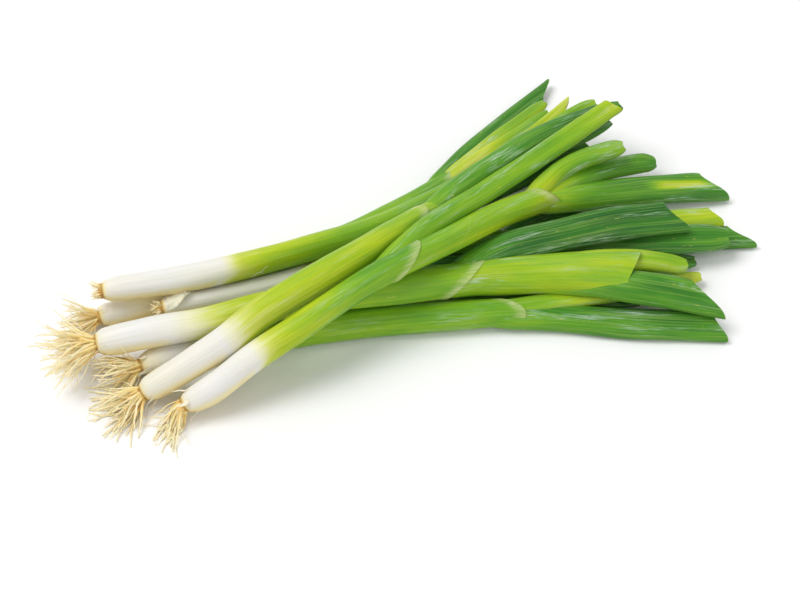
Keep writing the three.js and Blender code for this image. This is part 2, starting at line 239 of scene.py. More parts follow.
class Route:
    """A smooth line through given points, with its cross sizes, as the solids follow it."""

    def __init__(self, points: Sequence[Sequence[float]]) -> None:
        """Keeps the points.

        Args:
            points: rows of x, y, z and one or two half sizes, in mm.
        """
        rows = np.array(points, float)
        if rows.shape[1] == 4:
            rows = np.column_stack([rows, rows[:, 3]])
        self.rows = np.vstack([2.0 * rows[0] - rows[1], rows, 2.0 * rows[-1] - rows[-2]])
        self.spans = len(rows) - 1
        self.shares = np.linspace(0.0, 1.0, ROUTE_SAMPLES)
        steps = np.linalg.norm(np.diff(self.values(self.shares)[:, :3], axis=0), axis=1)
        self.run = np.concatenate([[0.0], np.cumsum(steps)])
        self.length = float(self.run[-1])

    def values(self, share: np.ndarray, slope: bool = False) -> np.ndarray:
        """The line's place and sizes, or their slopes, at shares of the route.

        Args:
            share: shares of the route from 0 to 1, even between points.
            slope: whether slopes are wanted in place of values.

        Returns:
            One row of x, y, z, half width and half thickness for each share.
        """
        scaled = np.clip(share, 0.0, 1.0) * self.spans
        first = np.minimum(scaled.astype(int), self.spans - 1)
        u = (scaled - first)[:, None]
        before, start, end, after = (self.rows[first + k] for k in range(4))
        start_slope = (end - before) / 2.0
        end_slope = (after - start) / 2.0
        square = 3.0 * (end - start) - 2.0 * start_slope - end_slope
        cube = 2.0 * (start - end) + start_slope + end_slope
        if slope:
            return start_slope + 2.0 * square * u + 3.0 * cube * u * u
        return start + start_slope * u + square * u * u + cube * u * u * u

    def share_at(self, distance: np.ndarray) -> np.ndarray:
        """The shares of the route at distances along it, in mm."""
        return np.interp(distance, self.run, self.shares)

    def frames(self, share: np.ndarray, roll: float = 0.0) -> tuple[np.ndarray, ...]:
        """Places, sizes and directions along the route.

        Args:
            share: shares of the route.
            roll: turn about the line, in degrees.

        Returns:
            Places, half sizes, and the directions ahead, across and over.
        """
        value = self.values(share)
        ahead = self.values(share, slope=True)[:, :3]
        ahead /= np.linalg.norm(ahead, axis=1)[:, None]
        across = np.cross(UP, ahead)
        across /= np.linalg.norm(across, axis=1)[:, None]
        over = np.cross(ahead, across)
        cosine, sine = math.cos(math.radians(roll)), math.sin(math.radians(roll))
        turned = across * cosine + over * sine
        return value[:, :3], value[:, 3:5], ahead, turned, over * cosine - across * sine


class Skin:
    """Collects tubes of points into one mesh with its tone, grain and rim values."""

    def __init__(self, name: str) -> None:
        """Starts an empty skin.

        Args:
            name: the piece's name.
        """
        self.name = name
        self.points: list[np.ndarray] = []
        self.tone: list[np.ndarray] = []
        self.grain: list[np.ndarray] = []
        self.rim: list[np.ndarray] = []
        self.faces: list[tuple[int, ...]] = []
        self.slots: list[int] = []
        self.count = 0

    def add_rings(
        self, rings: np.ndarray, tone: np.ndarray, grain: np.ndarray, rim: np.ndarray, slot: int = 0
    ) -> int:
        """Adds a tube of rings and the faces between them.

        Args:
            rings: points by ring and place round it, in mm.
            tone: tone by ring and place.
            grain: grain coordinates by ring and place, in mm.
            rim: signed distance beyond the nearest sheath edge, by ring and place.
            slot: the material's number.

        Returns:
            The number of the tube's first point.
        """
        start = self.count
        rows, sides = rings.shape[:2]
        self.points.append(rings.reshape(-1, 3))
        self.tone.append(tone.reshape(-1))
        self.grain.append(grain.reshape(-1, 3))
        self.rim.append(rim.reshape(-1))
        self.count += rows * sides
        for row in range(rows - 1):
            near, far = start + row * sides, start + (row + 1) * sides
            for side in range(sides):
                after = (side + 1) % sides
                self.faces.append((near + side, near + after, far + after, far + side))
                self.slots.append(slot)
        return start

    def close(self, ring_start: int, sides: int, slot: int = 0, reverse: bool = False) -> None:
        """Closes a ring with one face.

        Args:
            ring_start: the number of the ring's first point.
            sides: how many points the ring has.
            slot: the material's number.
            reverse: whether the face looks back along the tube.
        """
        ring = tuple(range(ring_start, ring_start + sides))
        self.faces.append(ring[::-1] if reverse else ring)
        self.slots.append(slot)

    def add_thread(
        self, rings: np.ndarray, tone: np.ndarray | None = None, start_closed: bool = True
    ) -> None:
        """Adds a tube with closed ends and no rims, whose grain follows its own points.

        Args:
            rings: points by ring and place round it, in mm.
            tone: tone by ring, or None for tone 0.
            start_closed: whether its first ring is closed too.
        """
        rows, sides = rings.shape[:2]
        level = np.zeros((rows, sides))
        tones = level if tone is None else np.repeat(tone[:, None], sides, axis=1)
        first = self.add_rings(rings, tones, rings, level)
        if start_closed:
            self.close(first, sides, reverse=True)
        self.close(first + (rows - 1) * sides, sides)

    def build(self, finishes: Iterable[bpy.types.Material], sharp_degrees: float = 50.0) -> bpy.types.Object:
        """Makes the mesh object.

        Args:
            finishes: the materials by number.
            sharp_degrees: edges sharper than this stay crisp.

        Returns:
            The new object in the part's frame, in metres.
        """
        places = np.vstack(self.points) - MIDDLE
        places[:, 2] = np.maximum(places[:, 2], TABLE_CLEARANCE)
        mesh = bpy.data.meshes.new(self.name)
        mesh.from_pydata((places * MM).tolist(), [], self.faces)
        for material in finishes:
            mesh.materials.append(material)
        mesh.polygons.foreach_set("material_index", self.slots)
        mesh.polygons.foreach_set("use_smooth", [True] * len(mesh.polygons))
        for key, parts in (("tone", self.tone), ("rim", self.rim)):
            values = mesh.attributes.new(key, "FLOAT", "POINT")
            values.data.foreach_set("value", np.concatenate(parts).astype(np.float32))
        grain = mesh.attributes.new("grain", "FLOAT_VECTOR", "POINT")
        grain.data.foreach_set("vector", np.vstack(self.grain).astype(np.float32).reshape(-1))
        mesh.update()
        mesh.set_sharp_from_angle(angle=math.radians(sharp_degrees))
        piece = bpy.data.objects.new(self.name, mesh)
        bpy.context.collection.objects.link(piece)
        return piece


@dataclass(frozen=True)
class Pattern:
    """A noise drawn out along the plant, and the band of its values that shows."""

    scale: float
    stretch: float
    detail: float
    low: float = 0.0
    high: float = 1.0


class NodeTree:
    """A small helper that adds and links shader nodes in one tree."""

    spacing = 180

    def __init__(self, tree: bpy.types.NodeTree) -> None:
        """Keeps the tree and starts at its first column."""
        self.tree = tree
        self.column = 0

    def add(self, kind: str, inputs: dict | None = None, **settings: object) -> bpy.types.Node:
        """Adds a node.

        Args:
            kind: the node's type.
            inputs: values or output sockets for its inputs, by name or number.
            settings: the node's own properties.

        Returns:
            The new node.
        """
        node = self.tree.nodes.new(kind)
        node.location = (self.column, 0)
        self.column += self.spacing
        for key, value in settings.items():
            setattr(node, key, value)
        self.feed(node, inputs or {})
        return node

    def feed(self, node: bpy.types.Node, inputs: dict) -> None:
        """Links sockets to a node's inputs and sets plain values on them.

        Args:
            node: the node.
            inputs: values or output sockets, by name or number.
        """
        for key, value in inputs.items():
            if isinstance(value, Socket):
                self.tree.links.new(value, node.inputs[key])
            else:
                node.inputs[key].default_value = value

    def attribute(self, name: str, output: str = "Fac") -> Socket:
        """A mesh attribute's socket."""
        return self.add("ShaderNodeAttribute", attribute_name=name).outputs[output]

    def math(self, operation: str, *values: object, clamp: bool = False) -> Socket:
        """Adds a math node with up to three values or sockets."""
        inputs = dict(enumerate(values))
        return self.add("ShaderNodeMath", inputs, operation=operation, use_clamp=clamp).outputs[0]

    def product(self, first: object, *factors: object) -> Socket:
        """Multiplies sockets and numbers.

        Args:
            first: the first factor.
            factors: the other factors.

        Returns:
            The product's socket.
        """
        for factor in factors:
            first = self.math("MULTIPLY", first, factor)
        return first

    def swing(self, noise: Socket, strength: float) -> Socket:
        """Turns a noise from 0 to 1 into one of half the strength each way."""
        return self.math("MULTIPLY_ADD", noise, strength, -0.5 * strength)

    def raised(self, value: Socket, depth: float) -> Socket:
        """Lifts a value from 0 to 1, so that it dips by no more than the depth below 1."""
        return self.math("MULTIPLY_ADD", value, depth, 1.0 - depth)

    def mix(self, factor: object, first: object, second: object, blend: str = "MIX") -> Socket:
        """Mixes two colours.

        Args:
            factor: share of the second.
            first: the first colour.
            second: the second colour.
            blend: how they mix.

        Returns:
            The mixed colour's socket.
        """
        node = self.add("ShaderNodeMix", data_type="RGBA", blend_type=blend)
        self.feed(node, {0: factor, 6: first, 7: second})
        return node.outputs[2]

    def band(self, value: object, low: float, high: float) -> Socket:
        """Rises smoothly from 0 at low to 1 at high."""
        inputs = {0: value, 1: low, 2: high}
        return self.add("ShaderNodeMapRange", inputs, interpolation_type="SMOOTHSTEP", clamp=True).outputs[0]

    def noise(self, vector: Socket, pattern: Pattern) -> Socket:
        """Adds a pattern's noise.

        Args:
            vector: the grain coordinates.
            pattern: its scale, stretch and detail.

        Returns:
            The noise's socket.
        """
        stretch = {0: vector, 1: (1.0, 1.0, pattern.stretch)}
        scaled = self.add("ShaderNodeVectorMath", stretch, operation="MULTIPLY").outputs[0]
        inputs = {"Vector": scaled, "Scale": pattern.scale, "Detail": pattern.detail}
        return self.add("ShaderNodeTexNoise", inputs).outputs["Fac"]

    def marks(self, vector: Socket, pattern: Pattern) -> Socket:
        """The marks of a pattern: its noise, cut to the band that shows."""
        return self.band(self.noise(vector, pattern), pattern.low, pattern.high)

    def ramp(self, value: Socket, stops: Sequence[tuple[float, Colour]]) -> Socket:
        """Adds a colour ramp.

        Args:
            value: what runs along it.
            stops: places and colours, in order.

        Returns:
            The colour's socket.
        """
        node = self.add("ShaderNodeValToRGB", {0: value})
        elements = node.color_ramp.elements
        for element, (place, colour) in ((elements[0], stops[0]), (elements[1], stops[-1])):
            element.position = place
            element.color = (*colour, 1.0)
        for place, colour in stops[1:-1]:
            elements.new(place).color = (*colour, 1.0)
        return node.outputs[0]


@dataclass(frozen=True)
class OnionTissue:
    """The shared look of stems and leaves, from root end to tip, as one node group.

    Tone runs from -1 at the root plate through 0, bright white, 1, yellow green, and 2, fresh green,
    to 3, the dark green of old leaves. Veins, bloom and specks show where the tissue is coloured.
    """

    # The golden stops below the white are the root plate's own colour and also the painted glow of light
    # under the white stems.
    stops: Sequence[tuple[float, Colour]] = (
        (0.0, (0.38, 0.18, 0.04)),
        (0.125, (0.78, 0.60, 0.22)),
        (0.19, (0.85, 0.74, 0.40)),
        (0.23, (0.83, 0.77, 0.57)),
        (0.26, (0.81, 0.795, 0.765)),
        (0.33, (0.80, 0.79, 0.53)),
        (0.41, (0.64, 0.68, 0.12)),
        (0.5, (0.46, 0.58, 0.010)),
        (0.625, (0.25, 0.47, 0.012)),
        (0.75, (0.125, 0.35, 0.014)),
        (0.875, (0.050, 0.225, 0.016)),
        (1.0, (0.020, 0.125, 0.018)),
    )
    tone_span: float = 4.0
    coloured_tones: Sequence[float] = (0.1, 1.0)
    white: Colour = (1.0, 1.0, 1.0, 1.0)
    patches: Pattern = Pattern(0.13, 0.2, 3.0)
    patch_swing: float = 1.5
    bands: Pattern = Pattern(0.8, 0.03, 4.0)
    band_swing: float = 0.8
    vein_lines: Pattern = Pattern(1.5, 0.014, 3.0, 0.46, 0.66)
    vein_colour: Colour = (0.30, 0.47, 0.09, 1.0)
    vein_height: float = 0.3
    white_vein_colour: Colour = (0.66, 0.67, 0.54, 1.0)
    white_vein_share: float = 0.3
    shade_lines: Pattern = Pattern(2.1, 0.012, 2.0, 0.38, 0.56)
    shade_depth: float = 0.09
    bloom_patches: Pattern = Pattern(0.22, 0.13, 5.0, 0.50, 0.70)
    bloom_grit: Pattern = Pattern(1.7, 0.07, 5.0, 0.44, 0.66)
    bloom_colour: Colour = (0.50, 0.64, 0.50, 1.0)
    bloom_roughness: float = 0.3
    roughness: float = 0.40
    specks: Pattern = Pattern(0.9, 0.22, 2.0, 0.70, 0.77)
    speck_colour: Colour = (0.58, 0.56, 0.10, 1.0)
    speck_share: float = 0.6
    ridges: Pattern = Pattern(1.3, 0.012, 3.0)
    fray: Pattern = Pattern(0.5, 0.3, 3.0)
    fray_swing: float = 5.0
    wear: Pattern = Pattern(1.4, 0.1, 3.0, 0.3, 0.7)
    wear_depth: float = 0.6
    rim_colour: Colour = (0.68, 0.70, 0.36, 1.0)
    rim_span: Sequence[float] = (-7.5, -1.5)
    rim_end: float = 0.05
    rim_share: float = 0.6
    rust_colour: Colour = (0.40, 0.30, 0.06, 1.0)
    rust_span: Sequence[float] = (-0.7, -0.1)
    rust_share: float = 0.16

    def build(self) -> bpy.types.NodeTree:
        """Makes the group with its named sockets.

        Returns:
            The group.
        """
        group = bpy.data.node_groups.new("onion_tissue", "ShaderNodeTree")
        self.name_sockets(group)
        tree = NodeTree(group)
        given = tree.add("NodeGroupInput").outputs
        grain = given["Grain"]
        coloured = tree.band(given["Tone"], *self.coloured_tones)
        drift = tree.swing(tree.noise(grain, self.patches), self.patch_swing)
        band_drift = tree.swing(tree.noise(grain, self.bands), self.band_swing)
        moved = tree.product(tree.math("ADD", drift, band_drift), coloured)
        tone = tree.math("ADD", given["Tone"], moved)
        share = tree.math("DIVIDE", tree.math("ADD", tone, 1.0), self.tone_span, clamp=True)
        colour = tree.ramp(share, self.stops)
        veins = tree.marks(grain, self.vein_lines)
        colour = tree.mix(tree.product(veins, given["Veins"], coloured), colour, self.vein_colour)
        shade = tree.raised(tree.marks(grain, self.shade_lines), self.shade_depth)
        grey = tree.add("ShaderNodeCombineColor", {0: shade, 1: shade, 2: shade}).outputs[0]
        colour = tree.mix(1.0, colour, tree.mix(coloured, self.white, grey), "MULTIPLY")
        faint = tree.product(veins, tree.math("SUBTRACT", 1.0, coloured), self.white_vein_share)
        colour = tree.mix(faint, colour, self.white_vein_colour)
        grit = tree.product(tree.marks(grain, self.bloom_patches), tree.marks(grain, self.bloom_grit))
        bloom = tree.product(grit, given["Bloom"], coloured)
        colour = tree.mix(bloom, colour, self.bloom_colour)
        specks = tree.product(tree.marks(grain, self.specks), coloured, self.speck_share)
        colour = tree.mix(specks, colour, self.speck_colour)
        colour = self.add_rim(tree, given["Rim"], grain, colour)
        roughness = tree.math("MULTIPLY_ADD", bloom, self.bloom_roughness, self.roughness)
        height = tree.math("ADD", tree.noise(grain, self.ridges), tree.product(veins, self.vein_height))
        tree.add("NodeGroupOutput", {"Color": colour, "Roughness": roughness, "Height": height})
        return group

    def name_sockets(self, group: bpy.types.NodeTree) -> None:
        """Gives the group its named inputs and outputs.

        Args:
            group: the group.
        """
        for name, way, kind in (
            ("Tone", "INPUT", "Float"),
            ("Grain", "INPUT", "Vector"),
            ("Rim", "INPUT", "Float"),
            ("Veins", "INPUT", "Float"),
            ("Bloom", "INPUT", "Float"),
            ("Color", "OUTPUT", "Color"),
            ("Roughness", "OUTPUT", "Float"),
            ("Height", "OUTPUT", "Float"),
        ):
            group.interface.new_socket(name, in_out=way, socket_type=f"NodeSocket{kind}")

    def add_rim(self, tree: NodeTree, gap: Socket, grain: Socket, colour: Socket) -> Socket:
        """Lays the pale membrane that ends at a sheath's edge, and the thin dry line on the edge.

        Args:
            tree: the group's tree.
            gap: signed distance beyond the edge.
            grain: the grain coordinates.
            colour: the colour so far.

        Returns:
            The colour with the edge on it.
        """
        fray = tree.swing(tree.noise(grain, self.fray), self.fray_swing)
        rise = tree.band(tree.math("ADD", gap, fray), *self.rim_span)
        end = tree.math("LESS_THAN", gap, self.rim_end)
        wear = tree.raised(tree.marks(grain, self.wear), self.wear_depth)
        colour = tree.mix(tree.product(rise, end, self.rim_share, wear), colour, self.rim_colour)
        line = tree.product(tree.band(gap, *self.rust_span), end, self.rust_share)
        return tree.mix(line, colour, self.rust_colour)


@dataclass(frozen=True)
class Palette:
    """Every finish of the bunch, with stems and leaves made from the shared tissue group."""

    bump_distance: float = 0.00028
    skin_bump: float = 0.5
    skin_specular: float = 0.25
    skin_radius: Sequence[float] = (0.9, 1.0, 0.5)
    skin_depth: float = 0.002
    dry_depth: float = 0.001
    root_mottle: Pattern = Pattern(0.6, 0.5, 4.0)
    root_grit: Pattern = Pattern(5.0, 0.1, 3.0)
    root_bump: float = 0.6
    root_swing: float = 0.5
    root_roughness: float = 0.62
    root_subsurface: float = 0.15
    root_stops: Sequence[tuple[float, Colour]] = (
        (0.0, (0.52, 0.26, 0.05)),
        (0.16, (0.78, 0.49, 0.12)),
        (0.36, (0.90, 0.64, 0.22)),
        (0.65, (0.96, 0.77, 0.36)),
        (1.0, (0.97, 0.86, 0.56)),
    )
    membrane_threads: Pattern = Pattern(2.2, 0.08, 4.0)
    membrane_bump: float = 0.5
    membrane_roughness: float = 0.6
    membrane_subsurface: float = 0.2
    membrane_dark: Colour = (0.80, 0.70, 0.46, 1.0)
    membrane_light: Colour = (0.93, 0.90, 0.80, 1.0)

    def build(self) -> Finishes:
        """Makes all materials.

        Returns:
            The materials by finish.
        """
        tissue = OnionTissue().build()
        return {
            Finish.STEM: self.skin(Finish.STEM, tissue, veins=0.16, bloom=0.35, subsurface=0.12),
            Finish.LEAF: self.skin(Finish.LEAF, tissue, veins=0.34, bloom=0.75, subsurface=0.04),
            Finish.INSIDE: self.skin(Finish.INSIDE, tissue, veins=0.30, bloom=0.1, subsurface=0.04),
            Finish.ROOT: self.root_fibre(),
            Finish.MEMBRANE: self.membrane(),
        }

    def skin(
        self, finish: Finish, tissue: bpy.types.NodeTree, veins: float, bloom: float, subsurface: float
    ) -> bpy.types.Material:
        """Makes a material from the tissue group.

        Args:
            finish: which finish it is.
            tissue: the shared group.
            veins: how strongly the lengthwise veins show.
            bloom: how much waxy bloom lies on it.
            subsurface: how much light gets in.

        Returns:
            The material.
        """
        material, tree, shader = self.blank(finish)
        group = tree.add("ShaderNodeGroup", node_tree=tissue)
        inputs = {"Tone": tree.attribute("tone"), "Grain": tree.attribute("grain", "Vector")}
        tree.feed(group, {**inputs, "Rim": tree.attribute("rim"), "Veins": veins, "Bloom": bloom})
        self.dress(tree, shader, group.outputs["Color"], group.outputs["Height"], self.skin_bump)
        tree.feed(shader, {
            "Roughness": group.outputs["Roughness"],
            "Specular IOR Level": self.skin_specular,
            "Subsurface Weight": subsurface,
            "Subsurface Radius": self.skin_radius,
            "Subsurface Scale": self.skin_depth,
        })
        return material

    def root_fibre(self) -> bpy.types.Material:
        """Makes the dry, straw-coloured root finish.

        Returns:
            The material.
        """
        material, tree, shader = self.blank(Finish.ROOT)
        grain = tree.attribute("grain", "Vector")
        drift = tree.swing(tree.noise(grain, self.root_mottle), self.root_swing)
        share = tree.math("ADD", tree.attribute("tone"), drift, clamp=True)
        colour = tree.ramp(share, self.root_stops)
        self.dress(tree, shader, colour, tree.noise(grain, self.root_grit), self.root_bump)
        self.dry(tree, shader, self.root_roughness, self.root_subsurface)
        return material

    def membrane(self) -> bpy.types.Material:
        """Makes the papery finish of loose skin and fibres.

        Returns:
            The material.
        """
        material, tree, shader = self.blank(Finish.MEMBRANE)
        threads = tree.noise(tree.attribute("grain", "Vector"), self.membrane_threads)
        colour = tree.mix(threads, self.membrane_dark, self.membrane_light)
        self.dress(tree, shader, colour, threads, self.membrane_bump)
        self.dry(tree, shader, self.membrane_roughness, self.membrane_subsurface)
        return material

    def dress(
        self, tree: NodeTree, shader: bpy.types.Node, colour: Socket, height: Socket, strength: float
    ) -> None:
        """Feeds a colour and a bump into the shader.

        Args:
            tree: the material's tree.
            shader: its shader.
            colour: the surface's colour.
            height: the height of its fine relief.
            strength: how strongly the relief shows.
        """
        relief = {"Height": height, "Strength": strength, "Distance": self.bump_distance}
        bump = tree.add("ShaderNodeBump", relief)
        tree.feed(shader, {"Base Color": colour, "Normal": bump.outputs["Normal"]})

    def dry(self, tree: NodeTree, shader: bpy.types.Node, roughness: float, subsurface: float) -> None:
        """Sets the plain values of a dry finish on its shader.

        Args:
            tree: the material's tree.
            shader: its shader.
            roughness: how rough it is.
            subsurface: how much light gets in.
        """
        values = {"Roughness": roughness, "Subsurface Weight": subsurface, "Subsurface Scale": self.dry_depth}
        tree.feed(shader, values)

    @staticmethod
    def blank(finish: Finish) -> tuple[bpy.types.Material, NodeTree, bpy.types.Node]:
        """Makes an empty material.

        Args:
            finish: which finish it is.

        Returns:
            The material, its tree and its shader.
        """
        material = bpy.data.materials.new(finish.value)
        material.use_nodes = True
        shader = next(n for n in material.node_tree.nodes if n.type == "BSDF_PRINCIPLED")
        return material, NodeTree(material.node_tree), shader


class Wander:
    """A small seeded unevenness made of a few long waves, so that no tube is perfectly true."""

    wave_count = 5
    most_turns = 3
    strength_play = (0.3, 1.0)
    length_play = (0.6, 1.8)

    def __init__(self, rng: random.Random, strength: float, wave: float) -> None:
        """Draws the waves.

        Args:
            rng: the seeded source.
            strength: the largest share by which a size changes.
            wave: the usual wavelength along the plant, in mm.
        """
        self.waves = [
            (
                strength * rng.uniform(*self.strength_play),
                rng.randint(0, self.most_turns),
                FULL_TURN / (wave * rng.uniform(*self.length_play)),
                rng.uniform(0.0, FULL_TURN),
            )
            for _ in range(self.wave_count)
        ]

    def at(self, angle: np.ndarray, distance: np.ndarray) -> np.ndarray:
        """The unevenness at places round and along a tube.

        Args:
            angle: angles round it.
            distance: distances along it, in mm.

        Returns:
            The unevenness by place.
        """
        total = np.zeros(np.broadcast(angle, distance).shape)
        for strength, turns, rate, phase in self.waves:
            total += strength * np.sin(turns * angle + rate * distance + phase)
        return total / 2.0


@dataclass
class StemSkin:
    """Builds a stem: a domed base, rolled sheaths with slanted rims, and an open mouth at the top."""

    plan: Stem
    sides: int = 48
    step_mm: float = 1.1
    dome: float = 5.4
    dome_rows: int = 9
    dome_start: float = 0.1
    dome_depth: float = 0.6
    swell: float = 0.07
    swell_place: float = 11.0
    swell_reach: float = 8.0
    unevenness: float = 0.03
    uneven_wave: float = 55.0
    ridge: float = 0.05
    ridge_count: float = 11.0
    ridge_play: float = 3.0
    ridge_drift: float = 0.35
    ridge_wave: float = 30.0
    ridge_span: Sequence[float] = (20.0, 60.0)
    rim_rows: Sequence[float] = (-0.4, -0.06, 0.06, 0.5)
    rim_reach: float = 2.4  # how many slants from a rim the rows of points still lean with it
    rim_drop: Sequence[float] = (-0.05, 0.5)
    lip_share: float = 0.5
    lip_place: float = -0.8
    lip_reach: float = 1.6
    taper: float = 0.05
    taper_mm: float = 26.0
    taper_past: float = 4.0
    under_lead: float = 9.0
    under_turn: float = 232.0
    under_span: Sequence[float] = (0.1, 1.0)
    # tones over which the painted glow of light under the white part fades out
    painted_glow_fade_tones: Sequence[float] = (0.25, 0.8)
    grain_spacing: float = 3.0
    plate_mm: float = 2.0
    plate_shade: float = 0.7
    mouth_slants: float = 4.0  # how many slants before the mouth the rows start to lean with it
    mouth_depths: Sequence[float] = (0.0, 0.2, 2.0, 4.0, 6.0)
    mouth_insets: Sequence[float] = (0.0, 0.5, 0.5, 0.6, 0.75)
    mouth_gaps: Sequence[float] = (-1.0, -1.4, -3.0, -NO_RIM, -NO_RIM)

    def build(self, name: str, rng: random.Random, finishes: Finishes) -> bpy.types.Object:
        """Makes the stem's object.

        Args:
            name: the piece's name.
            rng: the seeded source for its unevenness.
            finishes: the materials.

        Returns:
            The stem.
        """
        route = Route(self.plan.route)
        angle, distance = self.grid(route)
        wander = Wander(rng, self.unevenness, self.uneven_wave)
        fine = Wander(rng, self.ridge_drift, self.ridge_wave)
        lines = np.sin(angle * self.ridge_count + fine.at(angle, distance) * self.ridge_play)
        swell = self.swell * bell(distance, self.swell_place, self.swell_reach)
        scale = (1.0 + wander.at(angle, distance) + swell) * self.ends(route.length, distance)
        offset = self.ridge * lines * smooth_step(*self.ridge_span, distance)
        for rim in self.plan.rims:
            gap = rim.gap(angle, distance)
            lip = self.lip_share * bell(gap, self.lip_place, self.lip_reach) * (gap < 0.0)
            offset += rim.step * (lip - smooth_step(*self.rim_drop, gap))
        tone = self.tones(angle, distance)
        grain = self.grain(angle, distance, route)
        mouth = Rim(route.length, self.plan.mouth_slant, self.plan.mouth_turn)
        skin = Skin(name)
        rings = self.rings(route, angle, distance, scale, offset)
        first = skin.add_rings(rings, tone, grain, nearest_gap((*self.plan.rims, mouth), angle, distance))
        skin.close(first, self.sides, reverse=True)
        self.add_mouth(skin, route, distance[-1:], scale[-1:], tone[-1:], grain[-1:])
        return skin.build([finishes[Finish.STEM], finishes[Finish.INSIDE]])

    def grid(self, route: Route) -> tuple[np.ndarray, np.ndarray]:
        """Angles and distances of the skin's points, with rows that run along each slanted edge.

        Args:
            route: the stem's route.

        Returns:
            Angle and distance by row and side.
        """
        near = self.dome * (1.0 - np.cos(np.linspace(self.dome_start, 1.0, self.dome_rows) * math.pi / 2.0))
        even = np.linspace(self.dome, route.length, int(route.length / self.step_mm))[1:]
        edges = [rim.place + nudge for rim in self.plan.rims for nudge in self.rim_rows]
        rows = np.unique(np.concatenate([near, even, edges]))
        angle, distance = np.meshgrid(ring_angles(self.sides), rows)
        moved = distance.copy()
        for rim in self.plan.rims:
            share = bell(distance, rim.place, self.rim_reach * rim.slant)
            moved += rim.slant * np.cos(angle - math.radians(rim.turn)) * share
        slant = self.plan.mouth_slant
        share = smooth_step(route.length - self.mouth_slants * slant, route.length, distance)
        moved += slant * np.cos(angle - math.radians(self.plan.mouth_turn)) * share
        return angle, moved

    def ends(self, length: float, distance: np.ndarray) -> np.ndarray:
        """Share of the radius that is left by the rounded base and the tapered mouth.

        Args:
            length: the stem's length, in mm.
            distance: distances along it, in mm.

        Returns:
            The share by point.
        """
        dome_share = np.clip(distance / self.dome, 0.0, 1.0)
        dome = np.sqrt(1.0 - (1.0 - dome_share) ** 2 * self.dome_depth)
        taper = smooth_step(length - self.taper_mm, length + self.taper_past, distance)
        return dome * (1.0 - self.taper * taper)

    def rings(
        self, route: Route, angle: np.ndarray, distance: np.ndarray, scale: np.ndarray, offset: np.ndarray
    ) -> np.ndarray:
        """Places the skin's points.

        Args:
            route: the stem's route.
            angle: angle of each point round it.
            distance: distance of each point along it, in mm.
            scale: share of the full radius.
            offset: mm added to the radius.

        Returns:
            The points by row and side.
        """
        inside = np.clip(distance, 0.0, route.length)
        frames = route.frames(route.share_at(inside.reshape(-1)))
        place, size, ahead, across, over = (part.reshape(*distance.shape, -1) for part in frames)
        radius = (size[..., 0] * scale + offset)[..., None]
        outward = across * np.cos(angle)[..., None] + over * np.sin(angle)[..., None]
        return place + outward * radius + ahead * (distance - inside)[..., None]

    def tones(self, angle: np.ndarray, distance: np.ndarray) -> np.ndarray:
        """The tone by distance, with a painted warm glow of light on the underside of the white part and a
        change at each rim.

        Args:
            angle: angle of each point.
            distance: distance of each point along the stem, in mm.

        Returns:
            The tone by point.
        """
        marks = np.array(self.plan.tones, float)
        under = smooth_step(*self.under_span, np.cos(angle - math.radians(self.under_turn)))
        tone = np.interp(distance + self.under_lead * under, marks[:, 0], marks[:, 1])
        plate = self.plate_shade * (1.0 - smooth_step(0.0, self.plate_mm, distance))
        # painted light: the white part's underside is lowered in tone towards gold, a painted glow of light
        # passing through and bouncing under the stem
        painted_glow_shift = under * self.plan.painted_underside_glow * (1.0 - smooth_step(*self.painted_glow_fade_tones, tone))
        for rim in self.plan.rims:
            tone = tone + rim.shade * (rim.gap(angle, distance) > 0.0)
        return tone - plate - painted_glow_shift

    def grain(self, angle: np.ndarray, distance: np.ndarray, route: Route) -> np.ndarray:
        """Coordinates in mm that run round and along the stem with no seam.

        Args:
            angle: angle of each point.
            distance: distance of each point along the stem, in mm.
            route: the stem's route, whose place keeps the stems apart in the noise.

        Returns:
            The coordinates by point.
        """
        radius = float(np.mean(route.rows[1:-1, 3]))
        apart = float(route.rows[1, 1]) * self.grain_spacing
        return np.stack([np.cos(angle) * radius + apart, np.sin(angle) * radius, distance], axis=-1)

    def add_mouth(
        self,
        skin: Skin,
        route: Route,
        distance: np.ndarray,
        scale: np.ndarray,
        tone: np.ndarray,
        grain: np.ndarray,
    ) -> None:
        """Adds the thin edge and the shallow inside of the open top, which the leaves come out of.

        Args:
            skin: the mesh being collected.
            route: the stem's route.
            distance: distance of the mouth's edge along it, by side.
            scale: share of the radius at the edge.
            tone: tone at the edge.
            grain: grain at the edge.
        """
        depth, inset, gap = (
            np.repeat(np.array(values)[:, None], self.sides, axis=1)
            for values in (self.mouth_depths, self.mouth_insets, self.mouth_gaps)
        )
        rows = len(depth)
        angle = np.tile(ring_angles(self.sides), (rows, 1))
        scales, tones, grains = (np.repeat(edge, rows, axis=0) for edge in (scale, tone, grain))
        rings = self.rings(route, angle, distance - depth, scales, -inset)
        first = skin.add_rings(rings, tones, grains, gap, slot=1)
        skin.close(first + (rows - 1) * self.sides, self.sides, slot=1)


